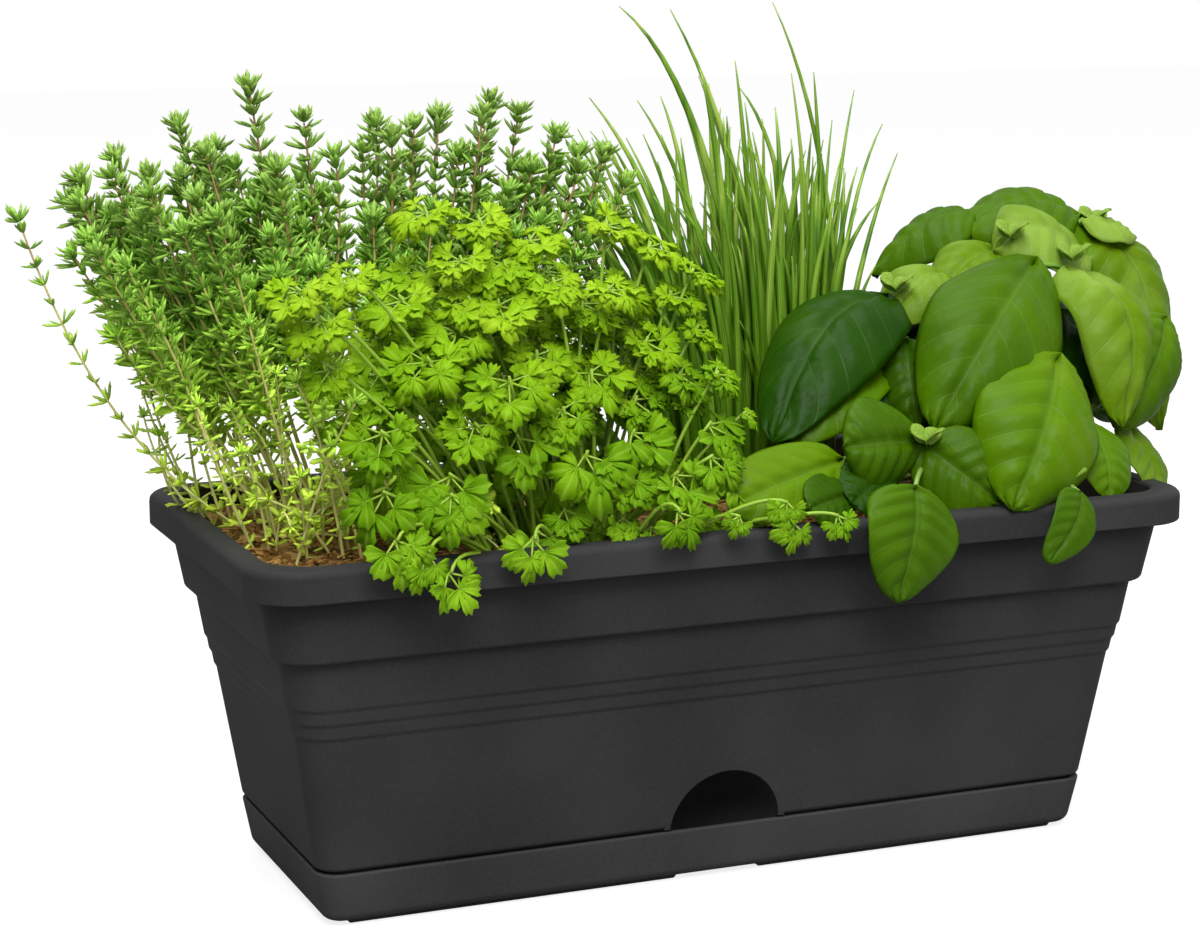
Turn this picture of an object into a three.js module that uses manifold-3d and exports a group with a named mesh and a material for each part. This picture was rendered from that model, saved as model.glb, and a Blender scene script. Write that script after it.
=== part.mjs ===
// Balcony planter: a tapered plastic trough that stands in a low saucer, filled with potting soil and
// planted with thyme, parsley, chives and basil.
// Millimetres, +Z up, the front faces -Y. The origin is the middle of the base, on the ground.
import * as THREE from 'three';
import { mergeVertices } from 'three/addons/utils/BufferGeometryUtils.js';
import Module from 'manifold-3d';

const wasm = await Module();
wasm.setup();

// Trough, outside. An inset is measured inwards from the rim's outer face.
const LENGTH = 300;
const WIDTH = 135;
const HEIGHT = 112;
const WALL = 2;
const RIM_SKIRT = 9.5;
const RIM_ROUND = 2.4;
const RIM_INNER_ROUND = 1.2;
const BAND_HEIGHT = 19.5;
const BAND_TOP_INSET = 5.6;
const BAND_BOTTOM_INSET = 9;
const BAND_ROUND = 1.2;
const BODY_TOP_INSET = 11.6;
const BODY_FOOT_INSET = 23.2;
const BODY_FOOT_ROUND = 1.4;
const RIM_CORNER = 16;
const CORNER_SHRINK = 0.39;
const CORNER_MIN = 2;
const CORNER_STEPS = 4;
const ROUND_STEPS = 3;

// Three shallow steps run round the body below the band, like the lower edges of boards.
const STEP_COUNT = 3;
const STEP_DROP = 14.5;
const STEP_PITCH = 4.5;
const STEP_DEPTH = 0.5;
const STEP_RISE = 0.4;

// Saucer
const SAUCER_HEIGHT = 16.8;
const SAUCER_LIP_INSET = 23;
const SAUCER_BASE_INSET = 25.8;
const SAUCER_ROUND = 3;
const LIP_ROUND = 0.7;
const FLOOR_ROUND = 1;
const SHADOW_GAP = 0.8;
const RAIL_HEIGHT = 1.3;
const RAIL_WIDTH = 6;
const RAIL_INSET = 29;
const RAIL_NOTCH = 12.7;
const RAIL_END = 32;
const RAIL_SLANT = 1.5;
const RAIL_ROOT = 0.4;

// How the trough sits in the saucer, and the water space below its floor
const SEAT_GAP = 0.3;
const PLINTH_CLEARANCE = 0.9;
const RESERVOIR = 5.7;

// Watering mouth at the front and drain holes in the floor
const MOUTH_RADIUS = 18;
const MOUTH_DEPTH = 20;
const MOUTH_SIDES = 20;
const DRAIN_RADIUS = 3;
const DRAIN_COLUMNS = 3;
const DRAIN_ROWS = 2;
const DRAIN_PITCH_X = 80;
const DRAIN_PITCH_Y = 40;
const DRAIN_SIDES = 10;

// Soil and the root balls that sit in it
const SOIL_DROP = 9;
const SOIL_EDGE_DROP = 2;
const SOIL_EDGE_RUN = 9;
const SOIL_CLEARANCE = 0.3;
const ROOT_DEPTH = 40;
const ROOT_TAPER_RATIO = 0.8;
const ROOT_SIDES = 20;

// Lengths, widths and places on the herbs are drawn in hundredths of this size.
const HERB_SIZE = 100;

// Each herb: middle of its root ball, measured from an end and from the front or back of the rim
const THYME = { fromEnd: 66, fromBack: 45.5, ...sized({ rx: 44, ry: 26 }) };
const PARSLEY = { fromEnd: 105, fromFront: 32.5, ...sized({ rx: 44, ry: 18 }) };
const CHIVES = { fromEnd: 126, fromBack: 43.5, ...sized({ rx: 26, ry: 19 }) };
const BASIL = { fromEnd: 55, fromFront: 61.5, ...sized({ rx: 34, ry: 32 }) };

// Upright planes between neighbouring herbs, as lines in plan in shares of the rim's length and width,
// so that no leaf runs into another plant
const HERB_GAP = 1;
const DIVIDER_HEIGHT = 400;
const MEET_BACK = [-0.018, -0.03];
const MEET_FRONT = [0.073, -0.03];
const BEND_LEFT = [0.22, 0.193];
const BEND_RIGHT = [0.36, 0.34];
const DIVIDERS = [
  [MEET_BACK, [-1, -0.54]],
  [MEET_BACK, [-0.018, 1.48]],
  [MEET_BACK, MEET_FRONT],
  [MEET_FRONT, [-0.12, -0.93]],
  [MEET_FRONT, BEND_LEFT],
  [BEND_LEFT, BEND_RIGHT],
  [BEND_RIGHT, [1.067, 0.444]],
];

const RIM_BOTTOM = HEIGHT - RIM_SKIRT;
const BAND_BOTTOM = RIM_BOTTOM - BAND_HEIGHT;
const BODY_FOOT = SAUCER_HEIGHT + SHADOW_GAP;
const SAUCER_FLOOR = RAIL_HEIGHT + WALL;
const PLINTH_FOOT = SAUCER_FLOOR + SEAT_GAP;
const FLOOR_UNDER = SAUCER_FLOOR + RESERVOIR;
const FLOOR_TOP = FLOOR_UNDER + WALL;
const SOIL_TOP = HEIGHT - SOIL_DROP;

const vec = (x, y, z) => new THREE.Vector3(x, y, z);
const GOLDEN_ANGLE = Math.PI * (3 - Math.sqrt(5));

// A repeatable number between -0.5 and 0.5 for the natural spread of stems and leaves
function scatter(index, salt) {
  const value = Math.sin(index * 12.9898 + salt * 78.233) * 43758.5453;
  return value - Math.floor(value) - 0.5;
}

// Joins rings with equal numbers of points into one closed body with flat ends.
function loft(rings) {
  const sides = rings[0].length;
  const index = [];
  for (let ring = 0; ring + 1 < rings.length; ring++) {
    for (let side = 0; side < sides; side++) {
      const a = ring * sides + side;
      const b = ring * sides + ((side + 1) % sides);
      index.push(a, b, b + sides, a, b + sides, a + sides);
    }
  }
  const last = (rings.length - 1) * sides;
  for (let side = 1; side + 1 < sides; side++) {
    index.push(0, side + 1, side, last, last + side, last + side + 1);
  }
  const points = rings.flat().flatMap((point) => point.toArray());
  const geometry = new THREE.BufferGeometry();
  geometry.setAttribute('position', new THREE.Float32BufferAttribute(points, 3));
  geometry.setIndex(index);
  return geometry;
}

// Turns a closed geometry into a solid that can be joined and cut.
function solid(geometry) {
  const bare = new THREE.BufferGeometry();
  bare.setAttribute('position', geometry.getAttribute('position'));
  bare.setIndex(geometry.getIndex());
  const merged = mergeVertices(bare, 1e-4);
  const corners = merged.getIndex().array;
  const triVerts = [];
  for (let i = 0; i < corners.length; i += 3) {
    const [a, b, c] = [corners[i], corners[i + 1], corners[i + 2]];
    if (a !== b && b !== c && c !== a) triVerts.push(a, b, c);
  }
  return new wasm.Manifold(new wasm.Mesh({
    numProp: 3,
    vertProperties: new Float32Array(merged.getAttribute('position').array),
    triVerts: new Uint32Array(triVerts),
  }));
}

function geometryOf(manifold) {
  const mesh = manifold.getMesh();
  const geometry = new THREE.BufferGeometry();
  geometry.setAttribute('position', new THREE.Float32BufferAttribute(mesh.vertProperties, 3));
  geometry.setIndex(Array.from(mesh.triVerts));
  return geometry;
}

const join = (solids) => wasm.Manifold.union(solids);

// A rounded rectangle at one inset and height, counter-clockwise from above
function planRing(inset, z) {
  const radius = Math.max(RIM_CORNER - CORNER_SHRINK * inset, CORNER_MIN);
  const cx = LENGTH / 2 - inset - radius;
  const cy = WIDTH / 2 - inset - radius;
  const corners = [[cx, cy], [-cx, cy], [-cx, -cy], [cx, -cy]];
  return corners.flatMap(([x, y], quarter) => Array.from({ length: CORNER_STEPS + 1 }, (_, step) => {
    const angle = (quarter + step / CORNER_STEPS) * (Math.PI / 2);
    return vec(x + radius * Math.cos(angle), y + radius * Math.sin(angle), z);
  }));
}

// A profile is a list of [inset, height, rounding]; a corner with a rounding becomes an arc.
function roundedProfile(profile) {
  return profile.flatMap(([inset, z, radius], i) => {
    if (!radius) return [[inset, z]];
    const here = new THREE.Vector2(inset, z);
    const back = new THREE.Vector2(profile[i - 1][0], profile[i - 1][1]).sub(here);
    const ahead = new THREE.Vector2(profile[i + 1][0], profile[i + 1][1]).sub(here);
    const half = Math.acos(back.dot(ahead) / (back.length() * ahead.length())) / 2;
    const reach = Math.min(radius / Math.tan(half), back.length() / 2, ahead.length() / 2);
    const start = here.clone().addScaledVector(back.normalize(), reach);
    const end = here.clone().addScaledVector(ahead.normalize(), reach);
    const arc = new THREE.QuadraticBezierCurve(start, here, end);
    return arc.getPoints(ROUND_STEPS).map((p) => [p.x, p.y]);
  });
}

const shell = (profile) => loft(roundedProfile(profile).map(([inset, z]) => planRing(inset, z)));

// A tapered stem along a curve, with a ring of points at every step
function stem(curve, footRadius, tipRadius, sides, steps) {
  const frames = curve.computeFrenetFrames(steps, false);
  return loft(Array.from({ length: steps + 1 }, (_, step) => {
    const centre = curve.getPointAt(step / steps);
    const radius = THREE.MathUtils.lerp(footRadius, tipRadius, step / steps);
    return Array.from({ length: sides }, (_, side) => {
      const angle = (side / sides) * 2 * Math.PI;
      return centre.clone()
        .addScaledVector(frames.normals[step], radius * Math.cos(angle))
        .addScaledVector(frames.binormals[step], radius * Math.sin(angle));
    });
  }));
}

const arch = (foot, crest, tip) => new THREE.QuadraticBezierCurve3(foot, crest, tip);

// Saucer: a shallow tray on four foot rails that leave a gap in the middle of each long side

function saucerInset(z) {
  const share = (z - RAIL_HEIGHT) / (SAUCER_HEIGHT - RAIL_HEIGHT);
  return THREE.MathUtils.lerp(SAUCER_BASE_INSET, SAUCER_LIP_INSET, share);
}

function footRail() {
  const end = LENGTH / 2 - RAIL_END;
  const top = RAIL_HEIGHT + RAIL_ROOT;
  const outline = new THREE.Shape([
    new THREE.Vector2(RAIL_NOTCH + RAIL_SLANT, 0),
    new THREE.Vector2(end - RAIL_SLANT, 0),
    new THREE.Vector2(end, top),
    new THREE.Vector2(RAIL_NOTCH, top),
  ]);
  const rail = new THREE.ExtrudeGeometry(outline, { depth: RAIL_WIDTH, bevelEnabled: false });
  return rail.rotateX(Math.PI / 2).translate(0, WIDTH / 2 - RAIL_INSET, 0);
}

function saucer() {
  const tray = shell([
    [RAIL_INSET + RAIL_WIDTH, RAIL_HEIGHT],
    [SAUCER_BASE_INSET, RAIL_HEIGHT, SAUCER_ROUND],
    [SAUCER_LIP_INSET, SAUCER_HEIGHT, LIP_ROUND],
    [SAUCER_LIP_INSET + WALL, SAUCER_HEIGHT, LIP_ROUND],
    [SAUCER_BASE_INSET + WALL, SAUCER_FLOOR, FLOOR_ROUND],
    [RAIL_INSET + RAIL_WIDTH, SAUCER_FLOOR],
  ]);
  const halfTurn = new THREE.Matrix4().makeRotationZ(Math.PI);
  const right = footRail();
  const left = right.clone().translate(-LENGTH / 2 + RAIL_END - RAIL_NOTCH, 0, 0);
  const back = [right, left];
  const front = back.map((rail) => rail.clone().applyMatrix4(halfTurn));
  return join([tray, ...back, ...front].map(solid));
}

// Trough: plinth, drafted body with steps, upright band, hollow rim, floor with drain holes, watering mouth

const plinthInset = (z) => saucerInset(z) + WALL + PLINTH_CLEARANCE;
const stepHeights = Array.from({ length: STEP_COUNT }, (_, i) => BAND_BOTTOM - STEP_DROP - i * STEP_PITCH);
const bodyDraft = (BODY_FOOT_INSET - BODY_TOP_INSET - STEP_COUNT * STEP_DEPTH) / (BAND_BOTTOM - BODY_FOOT);

function bodyInset(z) {
  const steps = stepHeights.filter((height) => height > z).length;
  return BODY_TOP_INSET + bodyDraft * (BAND_BOTTOM - z) + steps * STEP_DEPTH;
}

const outerWall = [
  [plinthInset(PLINTH_FOOT), PLINTH_FOOT, FLOOR_ROUND],
  [plinthInset(BODY_FOOT), BODY_FOOT],
  [BODY_FOOT_INSET, BODY_FOOT, BODY_FOOT_ROUND],
  ...stepHeights.toReversed().flatMap((z) => [
    [bodyInset(z - STEP_RISE), z - STEP_RISE],
    [bodyInset(z), z],
  ]),
  [BODY_TOP_INSET, BAND_BOTTOM],
  [BAND_BOTTOM_INSET, BAND_BOTTOM, BAND_ROUND],
  [BAND_TOP_INSET, RIM_BOTTOM],
];

const hollowRim = [
  [BAND_TOP_INSET, HEIGHT - WALL],
  [WALL, HEIGHT - WALL],
  [WALL, RIM_BOTTOM],
  [0, RIM_BOTTOM],
  [0, HEIGHT, RIM_ROUND],
];

const innerWall = [
  [BAND_TOP_INSET + WALL, RIM_BOTTOM],
  [BAND_BOTTOM_INSET + WALL, BAND_BOTTOM + WALL],
  [BODY_TOP_INSET + WALL, BAND_BOTTOM + WALL],
  [bodyInset(BODY_FOOT + WALL) + WALL, BODY_FOOT + WALL],
  [plinthInset(BODY_FOOT) + WALL, BODY_FOOT + WALL],
  [plinthInset(FLOOR_TOP) + WALL, FLOOR_TOP],
];

// The watering mouth: an arch in the front wall that runs back as a dome and down into the saucer
function mouth(extra) {
  const radius = MOUTH_RADIUS + extra;
  const dome = new THREE.EllipseCurve(0, 0, radius, radius, 0, Math.PI / 2).getPoints(MOUTH_SIDES / 4);
  const foot = PLINTH_FOOT - SEAT_GAP / 2 - SAUCER_HEIGHT;
  const profile = [new THREE.Vector2(0, foot), new THREE.Vector2(radius, foot), ...dome];
  profile[profile.length - 1].x = 0;
  return solid(new THREE.LatheGeometry(profile, MOUTH_SIDES)
    .rotateX(Math.PI / 2)
    .scale(1, (MOUTH_DEPTH + extra) / radius, 1)
    .translate(0, BODY_FOOT_INSET - WIDTH / 2, SAUCER_HEIGHT));
}

function drainHoles() {
  const holes = [];
  for (let column = 0; column < DRAIN_COLUMNS; column++) {
    for (let row = 0; row < DRAIN_ROWS; row++) {
      const x = (column - (DRAIN_COLUMNS - 1) / 2) * DRAIN_PITCH_X;
      const y = (row - (DRAIN_ROWS - 1) / 2) * DRAIN_PITCH_Y;
      const hole = new THREE.CylinderGeometry(DRAIN_RADIUS, DRAIN_RADIUS, 3 * WALL, DRAIN_SIDES);
      holes.push(solid(hole.rotateX(Math.PI / 2).translate(x, y, (FLOOR_UNDER + FLOOR_TOP) / 2)));
    }
  }
  return join(holes);
}

function trough() {
  const plinthBore = plinthInset(PLINTH_FOOT) + WALL;
  const walls = solid(shell([
    [plinthBore, FLOOR_UNDER],
    [plinthBore, PLINTH_FOOT],
    ...outerWall,
    ...hollowRim,
    [BAND_TOP_INSET + WALL, HEIGHT, RIM_INNER_ROUND],
    ...innerWall,
  ]));
  const filled = solid(shell([[plinthInset(FLOOR_UNDER), FLOOR_UNDER], ...outerWall.slice(1)]));
  const hood = mouth(WALL).intersect(filled);
  return walls.add(hood).subtract(mouth(0)).subtract(drainHoles());
}

// Soil fills the trough up to just below the rim, round the mouth's hood and the root balls.

const herbAt = (herb) => vec(
  herb === THYME || herb === PARSLEY ? herb.fromEnd - LENGTH / 2 : LENGTH / 2 - herb.fromEnd,
  herb.fromBack ? WIDTH / 2 - herb.fromBack : herb.fromFront - WIDTH / 2,
  SOIL_TOP,
);

function rootBall(herb, extra) {
  const ball = new THREE.CylinderGeometry(1, ROOT_TAPER_RATIO, ROOT_DEPTH + extra, ROOT_SIDES);
  const at = herbAt(herb);
  return solid(ball.rotateX(Math.PI / 2)
    .scale(herb.rx + extra, herb.ry + extra, 1)
    .translate(at.x, at.y, SOIL_TOP - (ROOT_DEPTH - extra) / 2));
}

function pottingSoil() {
  const sides = innerWall.toReversed().map(([inset, z]) => [inset + SOIL_CLEARANCE, z + SOIL_CLEARANCE]);
  sides.pop();
  const edge = BAND_TOP_INSET + WALL + SOIL_CLEARANCE + bodyDraft;
  const block = solid(shell([...sides, [edge, SOIL_TOP - SOIL_EDGE_DROP], [edge + SOIL_EDGE_RUN, SOIL_TOP]]));
  const sockets = [THYME, PARSLEY, CHIVES, BASIL].map((herb) => rootBall(herb, SOIL_CLEARANCE));
  return block.subtract(mouth(WALL + SOIL_CLEARANCE)).subtract(join(sockets));
}

// Herbs. Places on a plant are measured from the middle of its root ball and from the rim's top.

const place = (herb, x, y, z) => vec(x, y, 0).add(herbAt(herb)).setZ(HEIGHT + z);
const ROOT_GRIP = 4;
const footOf = (herb, x, y) => vec(x, y, 0).add(herbAt(herb)).setZ(SOIL_TOP - ROOT_GRIP);

const planPoint = ([x, y]) => new THREE.Vector2(x * LENGTH, y * WIDTH);

function dividers() {
  return join(DIVIDERS.map(([start, end]) => {
    const from = planPoint(start);
    const run = planPoint(end).sub(from);
    const middle = from.addScaledVector(run, 0.5);
    const slab = new THREE.BoxGeometry(run.length() + HERB_GAP, HERB_GAP, DIVIDER_HEIGHT);
    return solid(slab.rotateZ(run.angle()).translate(middle.x, middle.y, DIVIDER_HEIGHT / 2));
  }));
}

// Turns a table of drawn places into millimetres.
function sized(drawn) {
  if (typeof drawn === 'number') return (drawn * HERB_SIZE) / 100;
  if (Array.isArray(drawn)) return drawn.map(sized);
  if (typeof drawn !== 'object') return drawn;
  return Object.fromEntries(Object.entries(drawn).map(([name, value]) => [name, sized(value)]));
}

// One plant: its root ball with everything that grows from it on its own side of the dividers
function plant(herb, growth) {
  const whole = join([rootBall(herb, 0), ...growth.map(solid)]).subtract(dividers());
  return whole.decompose().reduce((most, piece) => (piece.volume() > most.volume() ? piece : most));
}

// Thyme: sprigs set with whorls of small leaves. The outer ones are given by their tips, others fill the
// bush between them, and one long sprig leans out.
const THYME_TIPS = sized([
  [-40, 0, 124], [-60, 4, 113], [-78, 8, 104], [-88, 12, 98], [-23, 2, 114], [-2, -2, 112], [19, 2, 114],
  [35, 0, 118], [53, -8, 108], [67, -12, 102], [-46, 18, 105], [-73, -12, 100], [-93, -22, 84], [20, 26, 102],
  [-64, -30, 95], [-40, -28, 102], [49, 8, 98], [-72, 46, 84], [-41, 54, 90], [-11, 52, 92], [20, 54, 88],
  [50, 46, 84],
]);
const THYME_RUNNER = sized({ foot: [-30, 0], crest: [-52, 6, 10], tip: [-103, 22, 84] });
const THYME_FILL_COUNT = 10;
const THYME_FILL_MIDDLE = sized([-11, 2, 86]);
const THYME_FILL_HALF = sized([74, 36]);
const THYME_FILL_FALL = sized([22, 12]);
const THYME_FILL_SPREAD = sized(50);
const THYME_FOOT_SHARE = 0.36;
const THYME_BEND_SHARE = 0.5;
const THYME_BEND_OUT_SHARE = 0.06;
const THYME_SAG = sized(4);
const THYME_STEM = sized(0.9);
const THYME_LEAF = sized(9.5);
const THYME_BARE_SHARE = 0.25;
const THYME_WHORLS = 3;
const WHORL_FOOT_SHARE = 1.15;
const WHORL_FALL_SHARE = 0.4;
const WHORL_FLAT_RATIO = 0.55;

function sprig(curve) {
  const rings = [];
  const steps = 2 * THYME_WHORLS + 1;
  const frames = curve.computeFrenetFrames(steps, false);
  for (let step = 0; step <= steps; step++) {
    const share = step === 0 ? 0 : THYME_BARE_SHARE + ((1 - THYME_BARE_SHARE) * (step - 1)) / (steps - 1);
    const centre = curve.getPointAt(share);
    const leafy = step > 1 && step % 2 === 0 && step < steps;
    const across = leafy ? THYME_LEAF * (WHORL_FOOT_SHARE - WHORL_FALL_SHARE * share) : THYME_STEM;
    const flat = leafy ? across * WHORL_FLAT_RATIO : THYME_STEM;
    const reach = (step / 2) % 2 === 0 ? [across, flat] : [flat, across];
    rings.push([0, 1, 2, 3].map((side) => {
      const way = side % 2 === 0 ? frames.normals[step] : frames.binormals[step];
      return centre.clone().addScaledVector(way, (side < 2 ? 1 : -1) * reach[side % 2]);
    }));
  }
  return loft(rings);
}

function thymeFill(i) {
  const radius = Math.sqrt((i + 0.5) / THYME_FILL_COUNT);
  const across = radius * Math.cos(i * GOLDEN_ANGLE);
  const deep = radius * Math.sin(i * GOLDEN_ANGLE);
  const [x, y, z] = THYME_FILL_MIDDLE;
  const fall = THYME_FILL_FALL[0] * across ** 2 + THYME_FILL_FALL[1] * deep ** 2;
  const lift = THYME_FILL_SPREAD * scatter(i, 1) - fall;
  return [x + THYME_FILL_HALF[0] * across, y + THYME_FILL_HALF[1] * deep, z + lift];
}

function thyme() {
  const fill = Array.from({ length: THYME_FILL_COUNT }, (_, i) => thymeFill(i));
  const sprigs = [...THYME_TIPS, ...fill].map(([x, y, z]) => {
    const tip = place(THYME, x, y, z);
    const foot = footOf(THYME, x * THYME_FOOT_SHARE, y * THYME_FOOT_SHARE);
    const outwards = vec(THYME_BEND_OUT_SHARE * (tip.x - foot.x), 0, -THYME_SAG);
    return sprig(arch(foot, foot.clone().lerp(tip, THYME_BEND_SHARE).add(outwards), tip));
  });
  const { foot, crest, tip } = THYME_RUNNER;
  const runner = arch(footOf(THYME, ...foot), place(THYME, ...crest), place(THYME, ...tip));
  return plant(THYME, [...sprigs, sprig(runner)]);
}

// Parsley: thin stalks with one leaf of three lobed parts each; some hang over the front rim. A row gives the
// end of a stalk and the length of its leaf.
const PARSLEY_LEAVES = sized([
  [-42, 9, 93, 21], [-26, 9, 90, 21], [-11, 7, 84, 21], [15, 11, 87, 21], [29, 11, 80, 21], [41, 7, 72, 19],
  [-89, -21, 76, 19], [-72, -15, 79, 19], [-83, -23, 68, 20], [-80, -21, 54, 18], [-54, -3, 70, 23],
  [-26, -7, 68, 25], [-50, -15, 54, 25], [-28, -21, 48, 27], [2, 3, 64, 23], [40, 1, 56, 19], [22, -3, 54, 21],
  [16, -9, 38, 23], [-67, -25, 36, 22], [-68, -29, 20, 20], [-48, -27, 23, 22], [-6, -25, 26, 22],
  [22, -25, 18, 20], [-15, -9, 53, 23], [-39, -9, 61, 22], [-43, 11, 76, 20], [39, -21, 16, 16],
]);
const PARSLEY_HANGING = sized([[-67, 8, 20], [-51, -1, 21], [-27, 7, 20], [17, 11, 18]]);
const PARSLEY_HEART = sized([-17, 19, 26]);
const PARSLEY_OUT_RATIO = 0.7;
const PARSLEY_FACING = vec(-0.1, -0.45, 0.75);
const PARSLEY_FORWARD = sized(14);
const PARSLEY_DROOP = sized(14);
const PARSLEY_CLIMB_RATIO = 0.2;
const PARSLEY_FOOT_SHARE = [0.32, 0.25];
const PARSLEY_FOOT_SPREAD = sized(6);
const PARSLEY_BEND_SHARE = 0.3;
const PARSLEY_RISE_SHARE = 0.7;
const PARSLEY_OVERHANG = 6;
const PARSLEY_CREST = 22;
const PARSLEY_STALK = sized(1);
const PARSLEY_STALK_TIP = sized(0.7);
const PARSLEY_STALK_SIDES = 3;
const PARSLEY_STALK_STEPS = 2;
const HANGING_FOOT_SHARE = 0.4;
const HANGING_FOOT_FORWARD = 6;
const HANGING_ALONG = vec(0.1, -0.02, -1).normalize();
const HANGING_FACING = vec(0, -1, 0.02).normalize();
const LEAF_HEEL = sized(1.5);
const LEAF_ROUND_SHARE = 0.5;
const LEAF_PARTS = 3;
const LEAF_PART_ANGLE = 1.3;
const LEAF_PART_SPREAD_ANGLE = 1;
const LEAF_TEETH = 2;
const LEAF_TOOTH_SHARE = 0.14;
const LEAF_NOTCH_SHARE = 0.28;
const LEAF_THICKNESS = sized(0.9);

// One flat leaf, three toothed parts in one outline, with its base at the end of the stalk
function parsleyBlade(base, along, facing, length) {
  const outline = [new THREE.Vector2(0, -LEAF_HEEL)];
  const at = (angle, radius) => {
    outline.push(new THREE.Vector2(radius * Math.sin(angle), radius * Math.cos(angle)));
  };
  for (let part = 0; part < LEAF_PARTS; part++) {
    const middle = (part - (LEAF_PARTS - 1) / 2) * LEAF_PART_ANGLE;
    for (let k = 0; k < 2 * LEAF_TEETH - 1; k++) {
      const share = k / (2 * LEAF_TEETH - 2) - 0.5;
      const dip = k % 2 === 1 ? LEAF_TOOTH_SHARE : 0;
      at(middle + share * LEAF_PART_SPREAD_ANGLE, length * (1 - dip - LEAF_ROUND_SHARE * share * share));
    }
    if (part + 1 < LEAF_PARTS) at(middle + LEAF_PART_ANGLE / 2, length * LEAF_NOTCH_SHARE);
  }
  const blade = new THREE.ExtrudeGeometry(new THREE.Shape(outline.reverse()), {
    depth: LEAF_THICKNESS,
    bevelEnabled: false,
  });
  const side = along.clone().cross(facing).normalize();
  const normal = side.clone().cross(along).normalize();
  return blade.applyMatrix4(new THREE.Matrix4().makeBasis(side, along, normal).setPosition(base));
}

function parsleyLeaf(foot, crest, tip, along, facing, length) {
  const bow = arch(foot, crest, tip);
  const stalk = stem(bow, PARSLEY_STALK, PARSLEY_STALK_TIP, PARSLEY_STALK_SIDES, PARSLEY_STALK_STEPS);
  return [stalk, parsleyBlade(tip, along, facing, length)];
}

function parsley() {
  const heart = place(PARSLEY, ...PARSLEY_HEART);
  const standing = PARSLEY_LEAVES.flatMap(([x, y, z, length], i) => {
    const tip = place(PARSLEY, x, y, z);
    const [shareX, shareY] = PARSLEY_FOOT_SHARE;
    const foot = footOf(PARSLEY, x * shareX, y * shareY + PARSLEY_FOOT_SPREAD * scatter(i, 3));
    const crest = foot.clone().lerp(tip, PARSLEY_BEND_SHARE).setZ(SOIL_TOP + PARSLEY_RISE_SHARE * z);
    const out = tip.clone().sub(heart);
    const facing = out.clone().setLength(PARSLEY_OUT_RATIO).add(PARSLEY_FACING).normalize();
    const ahead = vec(out.x, out.y - PARSLEY_FORWARD, PARSLEY_CLIMB_RATIO * out.z - PARSLEY_DROOP);
    const along = ahead.projectOnPlane(facing).normalize();
    return parsleyLeaf(foot, crest, tip, along, facing, length);
  });
  const hanging = PARSLEY_HANGING.flatMap(([x, z, length]) => {
    const tip = place(PARSLEY, x, 0, z).setY(-WIDTH / 2 - PARSLEY_OVERHANG);
    const foot = footOf(PARSLEY, x * HANGING_FOOT_SHARE, -HANGING_FOOT_FORWARD);
    const crest = vec(tip.x, tip.y + PARSLEY_OVERHANG, HEIGHT + PARSLEY_CREST);
    return parsleyLeaf(foot, crest, tip, HANGING_ALONG, HANGING_FACING, length);
  });
  return plant(PARSLEY, [...standing, ...hanging]);
}

// Chives: a tuft of tapered hollow leaves that fans out upwards, and a few long ones
const CHIVE_COUNT = 36;
const CHIVE_RADIUS = sized(1.3);
const CHIVE_TIP = sized(0.4);
const CHIVE_HEIGHT = sized(112);
const CHIVE_HEIGHT_SPREAD = sized(36);
const CHIVE_EDGE_DROP = sized(24);
const CHIVE_FILL_SHARE = 0.85;
const CHIVE_FAN_RATIO = 1.75;
const CHIVE_FAN_SPREAD_RATIO = 0.6;
const CHIVE_BEND_SHARE = 0.28;
const CHIVE_RISE_SHARE = 0.62;
const CHIVE_SIDES = 3;
const CHIVE_STEPS = 3;
const CHIVE_LEAN = sized([12, 16]);
const CHIVE_LONG = sized([
  [-18, 24, 146], [0, 18, 144], [30, 16, 146], [-24, 32, 116], [62, 26, 116], [76, 29, 104],
]);
const CHIVE_LONG_FOOT_SHARE = [0.25, 0.2];

function chiveBlade(foot, tip) {
  const rise = THREE.MathUtils.lerp(foot.z, tip.z, CHIVE_RISE_SHARE);
  const crest = foot.clone().lerp(tip, CHIVE_BEND_SHARE).setZ(rise);
  return stem(arch(foot, crest, tip), CHIVE_RADIUS, CHIVE_TIP, CHIVE_SIDES, CHIVE_STEPS);
}

function chives() {
  const [leanX, leanY] = CHIVE_LEAN;
  const tuft = Array.from({ length: CHIVE_COUNT }, (_, i) => {
    const radius = CHIVE_FILL_SHARE * Math.sqrt((i + 0.5) / CHIVE_COUNT);
    const x = CHIVES.rx * radius * Math.cos(i * GOLDEN_ANGLE);
    const y = CHIVES.ry * radius * Math.sin(i * GOLDEN_ANGLE);
    const fan = CHIVE_FAN_RATIO + CHIVE_FAN_SPREAD_RATIO * scatter(i, 1);
    const height = CHIVE_HEIGHT + CHIVE_HEIGHT_SPREAD * scatter(i, 2) - CHIVE_EDGE_DROP * radius;
    return chiveBlade(footOf(CHIVES, x, y), place(CHIVES, x * fan + leanX, y * fan + leanY, height));
  });
  const [shareX, shareY] = CHIVE_LONG_FOOT_SHARE;
  const long = CHIVE_LONG.map(([x, y, z]) => (
    chiveBlade(footOf(CHIVES, x * shareX, y * shareY), place(CHIVES, x, y, z))
  ));
  return plant(CHIVES, [...tuft, ...long]);
}

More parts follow.
